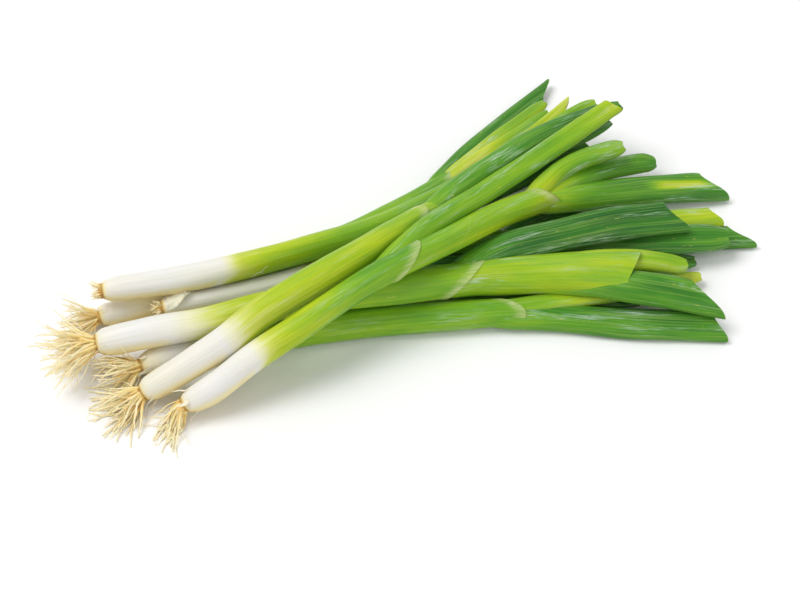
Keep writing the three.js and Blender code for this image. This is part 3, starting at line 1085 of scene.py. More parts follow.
@dataclass
class LeafSkin:
    """Builds a hollow leaf: a tube that flattens towards its tip, open there on its pale inside."""

    plan: Leaf
    sides: int = 40
    step_mm: float = 1.25
    close_rows_from: float = 0.93
    wall: float = 0.75
    hollow_from: float = 0.1
    start: float = 0.86
    start_share: float = 0.14
    unevenness: float = 0.035
    uneven_wave: float = 45.0
    uneven_span: Sequence[float] = (0.0, 0.3)
    flat_span: Sequence[float] = (0.1, 0.8)
    squareness: float = 0.12
    dent: float = 0.16
    dent_reach: float = 0.42
    wave_share: float = 0.5
    wave_height: float = 0.5
    wave_length: float = 38.0
    cut_start: float = 0.78
    corner: float = 1.4
    ragged: float = 0.35
    teeth: float = 3.0
    cut_close: float = 0.08
    round_from: float = 0.9
    round_close: float = 0.8
    round_thin: float = 0.45
    round_thin_from: float = 0.85
    edge_shade: float = -0.5
    inside_shade: float = -0.45
    edge_gap: float = -0.3
    grain_spacing: float = 2.0

    def build(self, name: str, rng: random.Random, finishes: Finishes) -> bpy.types.Object:
        """Makes the leaf's object.

        Args:
            name: the piece's name.
            rng: the seeded source for its unevenness.
            finishes: the materials.

        Returns:
            The leaf.
        """
        route = Route(self.plan.route)
        share = np.linspace(0.0, 1.0, int(route.length / self.step_mm))
        between = 1.0 - (1.0 - share[share > self.close_rows_from]) / 2.0
        share = np.unique(np.concatenate([share, between]))
        wander = Wander(rng, self.unevenness, self.uneven_wave)
        wave = Wander(rng, self.wave_height, self.wave_length)
        outside = self.rings(route, share, 0.0, wander, wave)
        inner_share = share[share >= self.hollow_from][::-1]
        inside = self.rings(route, inner_share, self.wall, wander, wave)
        skin = Skin(name)
        first = skin.add_rings(outside, *self.values(route, share, 0.0))
        skin.close(first, self.sides, reverse=True)
        tone, grain, gap = self.values(route, np.ones(2), self.edge_shade)
        edge = np.stack([outside[-1], inside[0]])
        skin.add_rings(edge, tone, grain, np.full(gap.shape, self.edge_gap), slot=1)
        first = skin.add_rings(inside, *self.values(route, inner_share, self.inside_shade), slot=1)
        skin.close(first + (len(inner_share) - 1) * self.sides, self.sides, slot=1)
        return skin.build([finishes[Finish.LEAF], finishes[Finish.INSIDE]], sharp_degrees=40.0)

    def rings(self, route: Route, share: np.ndarray, wall: float, wander: Wander, wave: Wander) -> np.ndarray:
        """Places the leaf's rings.

        Args:
            route: the leaf's route.
            share: shares of the route.
            wall: how far inside the outer surface they lie, in mm.
            wander: the unevenness of its size.
            wave: the slow wave of its upper side.

        Returns:
            The rings' points.
        """
        place, size, ahead, across, over = route.frames(share, self.plan.roll)
        angle, along = np.meshgrid(ring_angles(self.sides), share)
        distance = along * route.length
        scale = 1.0 + wander.at(angle, distance) * smooth_step(*self.uneven_span, along)
        scale = scale * (self.start + (1.0 - self.start) * smooth_step(0.0, self.start_share, along))
        close_width, close_height = self.closing(along)
        width = size[:, :1] * scale * close_width - wall
        height = size[:, 1:] * scale * close_height - wall
        flat = smooth_step(*self.flat_span, along)
        cosine, sine = np.cos(angle), np.sin(angle)
        squared = np.sign(sine) * np.abs(sine) ** (1.0 - self.squareness * flat)
        crease = self.dent * flat * bell(cosine, 0.0, self.dent_reach) * np.clip(sine, 0.0, 1.0)
        lift = wave.at(np.zeros_like(angle), distance) * flat * self.wave_share
        cut = np.clip((along - self.cut_start) / (1.0 - self.cut_start), 0.0, 1.0) ** 2
        slant = -np.sin(cosine * self.corner) / math.sin(self.corner) * (self.plan.slant or 0.0) * cut
        ragged = self.ragged * np.sin(angle * self.teeth + route.length) * cut**4
        rings = round_line(place, across, over, width * cosine, height * (squared - crease) + lift)
        return rings + ahead[:, None] * (slant + ragged)[..., None]

    def closing(self, share: np.ndarray) -> tuple[np.ndarray, np.ndarray]:
        """How far the tip closes.

        Args:
            share: shares of the route.

        Returns:
            The shares of the width and of the height that are left.
        """
        if self.plan.tip is Tip.SLANTED:
            return np.ones_like(share), 1.0 - self.cut_close * smooth_step(self.round_from, 1.0, share)
        end = np.clip((share - self.round_from) / (1.0 - self.round_from), 0.0, 1.0)
        width = np.sqrt(1.0 - (end * self.round_close) ** 2)
        return width, 1.0 - self.round_thin * smooth_step(self.round_thin_from, 1.0, share)

    def values(self, route: Route, share: np.ndarray, change: float) -> tuple[np.ndarray, ...]:
        """Tone, grain and rim distance by ring and side.

        Args:
            route: the leaf's route, whose place keeps the leaves apart in the noise.
            share: shares of the route.
            change: how much the tone changes.

        Returns:
            The tone, the grain coordinates and the distance beyond the nearest rim.
        """
        angle, along = np.meshgrid(ring_angles(self.sides), share)
        distance = along * route.length
        marks = np.linspace(0.0, 1.0, len(self.plan.tones))
        tone = np.interp(along, marks, self.plan.tones) + change
        for stripe in self.plan.stripes:
            tone = stripe.laid_on(tone, angle, along)
        radius = float(np.mean(route.rows[1:-1, 3]))
        apart = float(route.rows[-2, 1]) * self.grain_spacing
        grain = np.stack([np.cos(angle) * radius + apart, np.sin(angle) * radius, distance], axis=-1)
        return tone, grain, nearest_gap(self.plan.rims, angle, distance)


@dataclass
class RootTuft:
    """Builds a tuft: a domed plate under the stem's base and thread-like wavering roots."""

    plan: Roots
    stem: Stem
    sides: int = 6
    steps: int = 16
    plate_sides: int = 28
    plate_rings: int = 6
    plate_rise: float = 1.9
    plate_share: float = 0.7
    plate_gap: float = 0.06
    plate_tone: float = 0.05
    plate_bumps: Sequence[Sequence[float]] = ((0.07, 5.0, 0.0), (0.05, 9.0, 1.0))  # strength, count, phase
    root_ring: float = 0.86
    root_rise: float = 0.5
    root_sunk: float = 0.8
    turn_play: float = 0.08
    tilt_play: tuple[float, float] = (0.5, 1.1)
    locks: int = 8
    lock_pull: float = 0.3
    lock_play: float = 0.35
    lock_tilt: tuple[float, float] = (0.8, 1.2)
    lock_flatness: float = 0.7
    reach_play: tuple[float, float] = (0.8, 1.3)
    hair_share: float = 0.3
    hair_thickness: tuple[float, float] = (0.35, 0.5)
    root_thickness: tuple[float, float] = (0.75, 1.25)
    hair_restless: float = 0.17
    root_restless: float = 0.09
    curl_kept: float = 0.86
    droop_share: float = 0.28
    radii: tuple[float, float] = (0.74, 0.24)
    knots: float = 0.12
    knot_rate: float = 19.0
    tone_start: float = 0.32
    tone_rise: float = 0.9
    tone_play: tuple[float, float] = (-0.2, 0.35)
    floor: float = 0.45
    clearance: float = 0.6
    cross_helper: tuple[float, float, float] = (0.31, 0.55, 0.77)

    def build(
        self, name: str, rng: random.Random, finishes: Finishes, obstacles: np.ndarray
    ) -> bpy.types.Object:
        """Makes the tuft's object.

        Args:
            name: the piece's name.
            rng: the seeded source.
            finishes: the materials.
            obstacles: rows of x, y, z and radius along the other stems.

        Returns:
            The tuft.
        """
        frames = Route(self.stem.route).frames(np.zeros(1))
        place, size, ahead, across, over = (part[0] for part in frames)
        back = -ahead
        plate = float(size[0]) * self.plate_share
        base = place + back * self.plate_gap
        skin = Skin(name)
        self.add_plate(skin, base, back, across, over, plate)
        lean = back + np.array(self.plan.heading)
        lean /= np.linalg.norm(lean)
        leans = [self.tilted(lean, across, over, (i + 0.5) / self.locks, rng) for i in range(self.locks)]
        for i in range(self.plan.count):
            outness = math.sqrt((i + 0.5) / self.plan.count)
            turn = (i * GOLDEN_TURN + rng.random() * self.turn_play) * FULL_TURN
            outward = across * math.cos(turn) + over * math.sin(turn)
            start = base + outward * plate * self.root_ring * outness + back * self.root_rise
            way = back + outward * outness
            nearest = max(leans, key=lambda lock: float(np.dot(lock, way)) + rng.uniform(0.0, self.lock_play))
            tilt = math.radians(self.plan.spread) * outness * rng.uniform(*self.tilt_play)
            way = back * math.cos(tilt) + outward * math.sin(tilt)
            self.add_root(skin, start, way, nearest, rng, obstacles)
        return skin.build([finishes[Finish.ROOT]])

    def tilted(
        self, lean: np.ndarray, across: np.ndarray, over: np.ndarray, share: float, rng: random.Random
    ) -> np.ndarray:
        """The way that one lock of roots leans.

        Args:
            lean: the whole tuft's way.
            across: the stem's sideways direction.
            over: the stem's upward direction.
            share: the lock's share of the way out.
            rng: the seeded source.

        Returns:
            A direction.
        """
        turn = rng.uniform(0.0, FULL_TURN)
        tilt = math.radians(self.plan.spread) * math.sqrt(share) * rng.uniform(*self.lock_tilt)
        sideways = across * math.cos(turn) + over * math.sin(turn) * self.lock_flatness
        way = lean * math.cos(tilt) + sideways * math.sin(tilt)
        return way / np.linalg.norm(way)

    def add_plate(
        self,
        skin: Skin,
        base: np.ndarray,
        back: np.ndarray,
        across: np.ndarray,
        over: np.ndarray,
        radius: float,
    ) -> None:
        """Adds the domed brown plate that the roots grow from.

        Args:
            skin: the mesh being collected.
            base: the middle of its flat side.
            back: the way that it faces.
            across: the stem's sideways direction.
            over: the stem's upward direction.
            radius: its radius, in mm.
        """
        angle = ring_angles(self.plate_sides)
        bumps = np.ones(self.plate_sides)
        for strength, count, phase in self.plate_bumps:
            bumps = bumps + strength * np.sin(angle * count + phase)
        climb = np.linspace(0.0, math.pi / 2.0, self.plate_rings + 1)[:-1, None]
        spread = radius * np.cos(climb) * bumps
        middles = base + back * self.plate_rise * np.sin(climb)
        points = round_line(middles, across[None], over[None], np.cos(angle) * spread, np.sin(angle) * spread)
        level = np.zeros(points.shape[:2])
        first = skin.add_rings(points[:, ::-1], level + self.plate_tone, points, level)
        skin.close(first + (self.plate_rings - 1) * self.plate_sides, self.plate_sides)
        skin.close(first, self.plate_sides, reverse=True)

    def add_root(
        self,
        skin: Skin,
        start: np.ndarray,
        way: np.ndarray,
        lean: np.ndarray,
        rng: random.Random,
        obstacles: np.ndarray,
    ) -> None:
        """Adds one root, which thins to its tip.

        Args:
            skin: the mesh being collected.
            start: where it starts on the plate.
            way: the way that it starts.
            lean: the way that its lock of roots goes.
            rng: the seeded source.
            obstacles: rows of x, y, z and radius along the other stems.
        """
        hair = rng.random() < self.hair_share
        reach = rng.uniform(*self.plan.length) * rng.uniform(*self.reach_play)
        thick = rng.uniform(*(self.hair_thickness if hair else self.root_thickness))
        points = self.grow(start, way, lean, reach, hair, rng, obstacles)
        share = np.linspace(0.0, 1.0, len(points))
        radius = (self.radii[0] * (1.0 - share) + self.radii[1] * share) * thick
        radius = (radius * (1.0 + self.knots * np.sin(share * self.knot_rate + reach)))[:, None]
        ahead = np.gradient(points, axis=0)
        ahead /= np.linalg.norm(ahead, axis=1)[:, None] + TINY
        side = np.cross(ahead, np.array(self.cross_helper))
        side /= np.linalg.norm(side, axis=1)[:, None] + TINY
        angle = ring_angles(self.sides)
        upward = np.cross(ahead, side)
        rings = round_line(points, side, upward, radius * np.cos(angle), radius * np.sin(angle))
        pale = rng.uniform(*self.tone_play)
        tone = np.clip(self.tone_start + share * self.tone_rise + pale, 0.0, 1.0)
        skin.add_thread(rings, tone, start_closed=False)

    def grow(
        self,
        start: np.ndarray,
        way: np.ndarray,
        lean: np.ndarray,
        reach: float,
        hair: bool,
        rng: random.Random,
        obstacles: np.ndarray,
    ) -> np.ndarray:
        """The places along a root that leans with its lock, droops and wavers above the table.

        Args:
            start: where it starts on the plate.
            way: the way that it starts.
            lean: the way that its lock of roots goes.
            reach: its length in mm.
            hair: whether it is one of the thin restless ones.
            rng: the seeded source.
            obstacles: rows of x, y, z and radius along the other stems.

        Returns:
            The places in order.
        """
        restless = self.hair_restless if hair else self.root_restless
        stride = reach / self.steps
        place = start - way * self.root_sunk
        line = [place]
        curl = np.array([rng.uniform(-1.0, 1.0) for _ in range(3)]) * restless
        for _ in range(self.steps):
            curl = curl * self.curl_kept + np.array([rng.uniform(-1.0, 1.0) for _ in range(3)]) * restless
            way = way + lean * self.lock_pull + curl
            way[2] += self.plan.droop * self.droop_share
            way /= np.linalg.norm(way)
            if place[2] + way[2] * stride < self.floor:
                way[2] = max(0.0, (self.floor - place[2]) / stride)
                way /= np.linalg.norm(way)
            place = self.bend_clear(place + way * stride, obstacles)
            line.append(place)
        return np.array(line)

    def bend_clear(self, place: np.ndarray, obstacles: np.ndarray) -> np.ndarray:
        """Moves a place on a root out of the other stems.

        Args:
            place: the place.
            obstacles: rows of x, y, z and radius along the other stems.

        Returns:
            A place that is clear of them and of the table.
        """
        away = place - obstacles[:, :3]
        distance = np.linalg.norm(away, axis=1)
        nearest = int(np.argmin(distance - obstacles[:, 3]))
        clear = obstacles[nearest, 3] + self.clearance
        if distance[nearest] < clear:
            place = obstacles[nearest, :3] + away[nearest] / distance[nearest] * clear
        return np.array([place[0], place[1], max(place[2], self.floor)])


def stand_for(piece: bpy.types.Object, node: str) -> bpy.types.Object:
    """Lets a piece ride on the bunch and stand for a solid, which is hidden.

    Args:
        piece: the new piece.
        node: the solid that it replaces.

    Returns:
        The piece.
    """
    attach(piece, "root")
    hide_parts(node)
    return piece


def lie_on(piece: bpy.types.Object) -> bpy.types.Object:
    """Lets a piece that stands for no solid ride on the bunch.

    Args:
        piece: the new piece.

    Returns:
        The piece.
    """
    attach(piece, "root")
    return piece


@dataclass
class Plant:
    """One spring onion: its stem, leaves and roots, what wraps its leaves, and a flat dark leaf laid under
    them in a gap between the stems, whose dark tone is painted shade.
    """

    key: str
    stem: Stem
    leaves: Sequence[Leaf]
    roots: Roots
    sheath: Leaf | None = None
    # a flat dark leaf low in a gap between the stems; its dark tone is painted shade that stands in for the
    # deep shadow there
    painted_shade_leaf: Leaf | None = None

    def build(self, finishes: Finishes, obstacles: np.ndarray) -> list[bpy.types.Object]:
        """Makes every piece of the plant and puts each in place of its solid.

        Args:
            finishes: the materials.
            obstacles: rows of x, y, z and radius along the other plants' stems.

        Returns:
            The pieces.
        """
        rng = random.Random(f"plant {self.key}")
        stem = StemSkin(self.stem).build(f"skin_stem_{self.key}", rng, finishes)
        made = [stand_for(stem, f"stem_{self.key}")]
        for number, leaf in enumerate(self.leaves, start=1):
            piece = LeafSkin(leaf).build(f"skin_leaf_{self.key}{number}", rng, finishes)
            made.append(stand_for(piece, f"leaf_{self.key}{number}"))
        if self.sheath:
            wrap = LeafSkin(self.sheath, dent=0.0, start=1.0)
            made.append(lie_on(wrap.build(f"loose_sheath_{self.key}", rng, finishes)))
        # the flat dark leaf in a gap between the stems: its dark tone is painted shade
        if self.painted_shade_leaf:
            under = LeafSkin(self.painted_shade_leaf)
            made.append(lie_on(under.build(f"painted_shade_leaf_{self.key}", rng, finishes)))
        tuft = RootTuft(self.roots, self.stem).build(f"tuft_{self.key}", rng, finishes, obstacles)
        made.append(stand_for(tuft, f"roots_{self.key}"))
        return made


def make_plants() -> list[Plant]:
    """The seven plants, in the order in which they were laid down.

    Returns:
        The plants.
    """
    return [
        Plant(
            "a",
            Stem(
                route=[
                    (-136, -25, 5.5, 5.2), (-124, -25, 6, 6.4), (-107, -26, 6.2, 6.7), (-78, -30, 6.8, 7.2),
                    (-37, -36, 7, 7.6), (3, -45, 7, 7.6), (36, -54, 6.7, 7.2),
                ],
                tones=[(0, -0.25), (4, -0.1), (22, 0.1), (45, 0.9), (80, 1.4), (130, 1.8), (180, 1.9)],
                mouth_slant=12,
                mouth_turn=140,
                painted_underside_glow=0.6,
            ),
            leaves=[
                Leaf(
                    [
                        (29, -53, 6.7, 6.8, 6.2), (54, -62, 5, 6.8, 5.2), (80, -74, 4.7, 7.4, 4.6),
                        (107, -86, 4.5, 7.8, 4.2), (133, -96, 4.2, 8.2, 3.6),
                    ],
                    tones=[1.95, 2.2, 2.45, 2.45, 2.4],
                    roll=20,
                    slant=4,
                ),
                Leaf(
                    [
                        (29, -52, 7, 5.4, 5), (60, -58, 9, 5, 4), (95, -63, 8, 4.6, 3.2),
                        (138, -65, 5.5, 4.2, 2.6),
                    ],
                    tones=[1.9, 1.75, 1.2, 1.4, 0.95],
                ),
            ],
            roots=Roots(80, (13, 22), 46, -0.1),
            # a flat dark leaf low between the stems, as painted shade in the gap
            painted_shade_leaf=Leaf(
                [
                    (-14, -31, 3.2, 3.6, 2.6), (14, -38, 3.2, 4.6, 2.8), (40, -44, 3.2, 5.2, 2.8),
                    (72, -54, 3.2, 5.2, 2.6), (104, -68, 3.2, 4.4, 2.4),
                ],
                tones=[2.5, 2.7, 2.7],
            ),
        ),
        Plant(
            "b",
            Stem(
                route=[
                    (-147, 11, 5.7, 5.4), (-117, 10, 5.7, 6.2), (-80, 12, 5.6, 6), (-43, 16, 5.5, 6),
                    (-9, 21, 5.5, 6), (21, 29, 5.5, 6), (47, 38, 5.2, 5.6),
                ],
                tones=[
                    (0, -0.1), (4, 0.0), (12, -0.02), (26, -0.2), (56, -0.1),
                    (72, 0.75), (92, 1.2), (140, 1.65), (220, 2.0),
                ],
                mouth_slant=7,
                mouth_turn=0,
            ),
            leaves=[
                Leaf(
                    [
                        (32, 33, 5.3, 5.4, 5), (57, 50, 4.2, 5.6, 4), (88, 68, 3.7, 5.4, 3.6),
                        (118, 84, 3.2, 4.4, 2.8),
                    ],
                    tones=[2.1, 2.5, 2.6, 2.5],
                    roll=15,
                    slant=-7,
                ),
                Leaf(
                    [
                        (42, 37, 5.2, 5.2, 5), (66, 48, 8, 4.6, 4), (85, 57, 9.5, 4.2, 3.4),
                        (111, 69, 10.5, 3.4, 2.6),
                    ],
                    tones=[0.9, 0.85, 1.3, 1.3],
                    roll=10,
                ),
                Leaf(
                    [
                        (42, 35, 5.2, 5.2, 5), (64, 42, 10.5, 4.8, 4), (82, 46, 14, 4.4, 3.4),
                        (107, 55, 17, 3.8, 2.6),
                    ],
                    tones=[0.95, 0.9, 1.5, 1.7],
                    roll=15,
                ),
            ],
            roots=Roots(40, (12, 20), 38, 0.08),
        ),
        Plant(
            "c",
            Stem(
                route=[
                    (-118, 1, 12, 4.6), (-85, 0, 9, 5), (-61, 0, 8, 5.2), (-42, 1, 7, 5.4),
                    (-6, 1, 6, 5.8), (29, -4, 6, 6.2), (62, -15, 6.5, 6.8),
                ],
                tones=[(0, -0.1), (4, 0.0), (66, 0.15), (84, 0.7), (110, 1.3), (150, 1.9), (200, 2.2)],
                mouth_turn=0,
            ),
            leaves=[
                Leaf(
                    [
                        (55, -13, 6.5, 6.5, 5.5), (86, -23, 5, 7, 4.2), (120, -33, 4.2, 7, 3.8),
                        (150, -41, 3.7, 7, 3.4), (170, -47, 3.2, 6.4, 2.8),
                    ],
                    tones=[2.2, 2.6, 2.55, 2.4],
                    roll=12,
                    slant=7,
                ),
                Leaf(
                    [
                        (55, -15, 6, 5.4, 5), (83, -32, 4.2, 5.2, 4), (115, -46, 3.7, 5, 3.4),
                        (141, -54, 3.2, 4.8, 2.6),
                    ],
                    tones=[2.2, 2.5, 2.6],
                ),
                Leaf(
                    [
                        (55, -13, 6.5, 6, 5), (87, -20, 11, 6, 4), (122, -29, 12, 6, 3.4),
                        (161, -35, 9.5, 5.5, 2.6),
                    ],
                    tones=[1.8, 1.5, 1.15],
                    roll=15,
                    slant=3,
                ),
                Leaf(
                    [
                        (55, -13, 7, 6.5, 5.5), (83, -30, 13, 7.2, 4.4), (116, -41, 14, 7.6, 3.8),
                        (159, -52, 12, 7.6, 3),
                    ],
                    tones=[2.3, 2.6, 2.7, 2.4],
                    roll=18,
                ),
            ],
            roots=Roots(34, (2.5, 5), 50, 0.0),
            # a flat dark leaf low between the stems, as painted shade in the gap
            painted_shade_leaf=Leaf(
                [
                    (-12, -5, 3.2, 3.6, 2.6), (8, -9, 3.2, 4.6, 2.8), (30, -15, 3.2, 5.0, 2.8),
                    (60, -27, 3.2, 5.0, 2.6), (92, -38, 3.2, 4.6, 2.4),
                ],
                tones=[2.7, 2.8, 2.8],
            ),
        ),
        Plant(
            "d",
            Stem(
                route=[
                    (-153, -14, 16.5, 6.4), (-128, -18, 19, 7.3), (-104, -22, 20, 7.4), (-74, -23, 20.5, 7.6),
                    (-41, -27, 21, 7.8), (-8, -34, 21, 8.2), (27, -38, 18, 8.6), (60, -44, 14, 8.8),
                ],
                tones=[
                    (0, -0.1), (4, 0.0), (36, 0.1), (54, 0.6), (66, 0.95), (110, 1.2), (150, 1.7),
                    (225, 1.75),
                ],
                rims=[Rim(179, 10, 45, 0.5, -0.4)],
                mouth_slant=10,
                mouth_turn=20,
            ),
            leaves=[
                Leaf(
                    [
                        (17, -36, 18.5, 7.2, 6.5), (43, -29, 21.5, 7.6, 5.4), (76, -32, 24.5, 8.2, 4.8),
                        (106, -35, 25, 8.6, 4.4), (135, -39, 22.5, 8.6, 3.6),
                    ],
                    tones=[2.0, 2.7, 2.85, 2.8],
                    roll=30,
                    slant=6,
                ),
                Leaf(
                    [
                        (50, -42, 14, 7.8, 7), (79, -57, 17, 8, 5.6), (106, -73, 17, 8.4, 4.8),
                        (131, -86, 14, 8.4, 3.8),
                    ],
                    tones=[1.3, 1.5, 1.9, 2.2, 2.4, 2.4, 2.35],
                    roll=22,
                    slant=9,
                ),
                Leaf(
                    [
                        (50, -42, 15, 7, 6.5), (77, -49, 21, 6.2, 5), (103, -55, 20, 5.8, 4.2),
                        (130, -64, 15.5, 5.2, 3.2),
                    ],
                    tones=[1.3, 1.25, 1.15, 1.3, 1.5],
                    roll=12,
                ),
            ],
            roots=Roots(110, (17, 27), 33, -0.1),
            sheath=Leaf(
                [
                    (16, -36.9, 18.9, 8.0, 8.0), (30, -38.5, 17.7, 8.45, 8.45), (44, -41, 16.2, 9.1, 9.1),
                    (60, -45.5, 15.9, 9.8, 9.5), (76, -51.8, 17.3, 10.7, 9.2), (90, -57.6, 18, 11.4, 8.5),
                    (101, -62.4, 18, 11.8, 7.8),
                ],
                tones=[1.4, 1.45, 1.4, 1.4, 1.35],
                roll=20,
                slant=-4,
                rims=[Rim(93, 3, 90)],
            ),
        ),
        Plant(
            "e",
            Stem(
                route=[
                    (-143, 13, 21, 5.4), (-111, 8, 20.7, 6.5), (-76, 7, 19, 6.6), (-35, 8, 17.3, 6.4),
                    (-2, 12, 15, 6.2), (28, 20, 13, 5.8), (53, 29, 12, 5.4),
                ],
                tones=[(0, -0.1), (4, 0.0), (58, 0.1), (68, 0.7), (84, 1.1), (120, 1.6), (200, 1.9)],
                mouth_slant=10,
                mouth_turn=110,
            ),
            leaves=[
                Leaf(
                    [
                        (46, 26, 12, 5, 4.6), (71, 34, 15, 4.6, 3.8), (94, 42, 19, 4.4, 3.2),
                        (115, 51, 22.5, 4, 2.6),
                    ],
                    tones=[1.8, 1.2, 0.95],
                    roll=10,
                    slant=-5,
                ),
                Leaf(
                    [
                        (46, 26, 12, 5, 4.6), (75, 30, 19, 4.8, 3.8), (103, 39, 23, 4.8, 3.4),
                        (129, 46, 25, 4.6, 2.8),
                    ],
                    tones=[1.9, 1.8, 1.6],
                    roll=15,
                ),
            ],
            roots=Roots(26, (3, 7), 40, 0.1),
        ),
        Plant(
            "f",
            Stem(
                route=[
                    (-139, -42, 6.5, 5.8), (-114, -41, 16.7, 7.1), (-96, -39, 24, 7.4), (-77, -34, 30.6, 7.5),
                    (-42, -26, 36.3, 7.5), (-21, -19, 36, 7.2), (2, -10, 34, 6.8), (25, 0, 30, 6.4),
                ],
                tones=[
                    (0, -0.15), (4, -0.03), (44, 0.02), (60, 0.75),
                    (78, 1.0), (130, 1.25), (170, 1.6), (220, 1.9),
                ],
                rims=[Rim(158, 8, 80, 0.25)],
                mouth_slant=7,
                mouth_turn=60,
            ),
            leaves=[
                Leaf(
                    [
                        (18, -1, 30, 5.6, 5), (50, 9, 20, 5.4, 4), (85, 20, 15.5, 5.4, 3.4),
                        (115, 30, 15, 5, 2.8),
                    ],
                    tones=[2.0, 2.6, 2.8],
                    roll=10,
                    slant=2,
                ),
                Leaf(
                    [
                        (18, -2, 31, 6, 5.2), (52, 13, 26, 5.4, 4), (82, 22, 24, 5.2, 3.6),
                        (131, 33, 23.5, 4.8, 3),
                    ],
                    tones=[2.0, 2.5, 2.5],
                    roll=10,
                ),
                Leaf(
                    [
                        (17, -3, 31.2, 6.4, 5.8), (51, 12, 34, 5.8, 4.2), (93, 28, 32, 5.6, 3.6),
                        (137, 34, 31.5, 5, 2.8),
                    ],
                    tones=[1.85, 2.2, 2.65, 2.7],
                    roll=15,
                ),
            ],
            roots=Roots(110, (15, 25), 38, -0.1, (-0.15, -0.1, 0.15)),
        ),
        Plant(
            "g",
            Stem(
                route=[
                    (-123, -56, 7.2, 5.4), (-107, -55, 13, 6.6), (-87, -52, 22.5, 6.7), (-63, -48, 30.5, 6.6),
                    (-42, -42, 34, 6.4), (-17, -36, 38, 6.6), (14, -28, 37, 6.8), (51, -14, 30, 7.2),
                    (79, -6, 24, 7.4),
                ],
                tones=[
                    (0, -0.1), (4, 0.0), (40, 0.1), (52, 0.8), (64, 1.15),
                    (104, 1.8), (150, 1.9), (190, 1.75), (225, 1.35),
                ],
                rims=[Rim(126, 9, 60, 0.5, -0.25)],
                mouth_slant=7,
                mouth_turn=215,
            ),
            leaves=[
                Leaf(
                    [
                        (71, -7, 24.5, 7, 6.2), (101, -6, 16.5, 7.4, 5.2), (138, -7, 9.5, 7.8, 4.4),
                        (171, -13, 5.5, 7.8, 3.6),
                    ],
                    tones=[1.3, 1.5, 2.15, 2.5, 2.6, 2.4],
                    roll=20,
                    slant=7,
                    stripes=[Stripe(0.6, 1.05, 86, 25, 0.85)],
                ),
                Leaf(
                    [
                        (71, -6, 25, 6.2, 5.4), (99, 3, 21, 5.6, 4.4), (126, 8, 16, 5.6, 3.8),
                        (147, 9, 11.5, 5.4, 3.2),
                    ],
                    tones=[1.2, 1.4, 2.2, 2.4, 2.4],
                    roll=15,
                ),
                Leaf(
                    [
                        (70, -7, 26, 6, 5.4), (91, 5, 27.5, 5.2, 4.4), (110, 9, 28.5, 5, 3.8),
                        (128, 10, 28.5, 4.8, 3.2),
                    ],
                    tones=[1.1, 1.5, 1.7, 1.6],
                    roll=15,
                ),
                Leaf(
                    [
                        (-24, -38, 37.5, 5.8, 5.4), (10, -19, 40, 5.6, 4.4), (45, -3, 35.5, 5.6, 3.8),
                        (87, 14, 34.5, 5.5, 3.4), (130, 29, 38.5, 5, 2.8),
                    ],
                    tones=[1.6, 1.8, 1.8, 1.7, 1.2],
                    roll=18,
                    slant=2,
                ),
            ],
            roots=Roots(74, (13, 22), 34, -0.4, (0.35, -0.95, -0.1)),
            # a flat dark leaf low between the stems, as painted shade in the gap
            painted_shade_leaf=Leaf(
                [
                    (48, -11, 3.2, 4.0, 2.6), (66, -5, 3.2, 5.4, 2.8), (84, -1, 3.2, 5.6, 2.8),
                    (106, 2, 3.2, 4.6, 2.4),
                ],
                tones=[2.6, 2.7, 2.7],
            ),
        ),
    ]


@dataclass(frozen=True)
class Tatter:
    """A strip of torn skin: its stem, how far up it starts, its angle, length and half width."""

    stem: str
    start: float
    turn: float
    length: float
    width: float


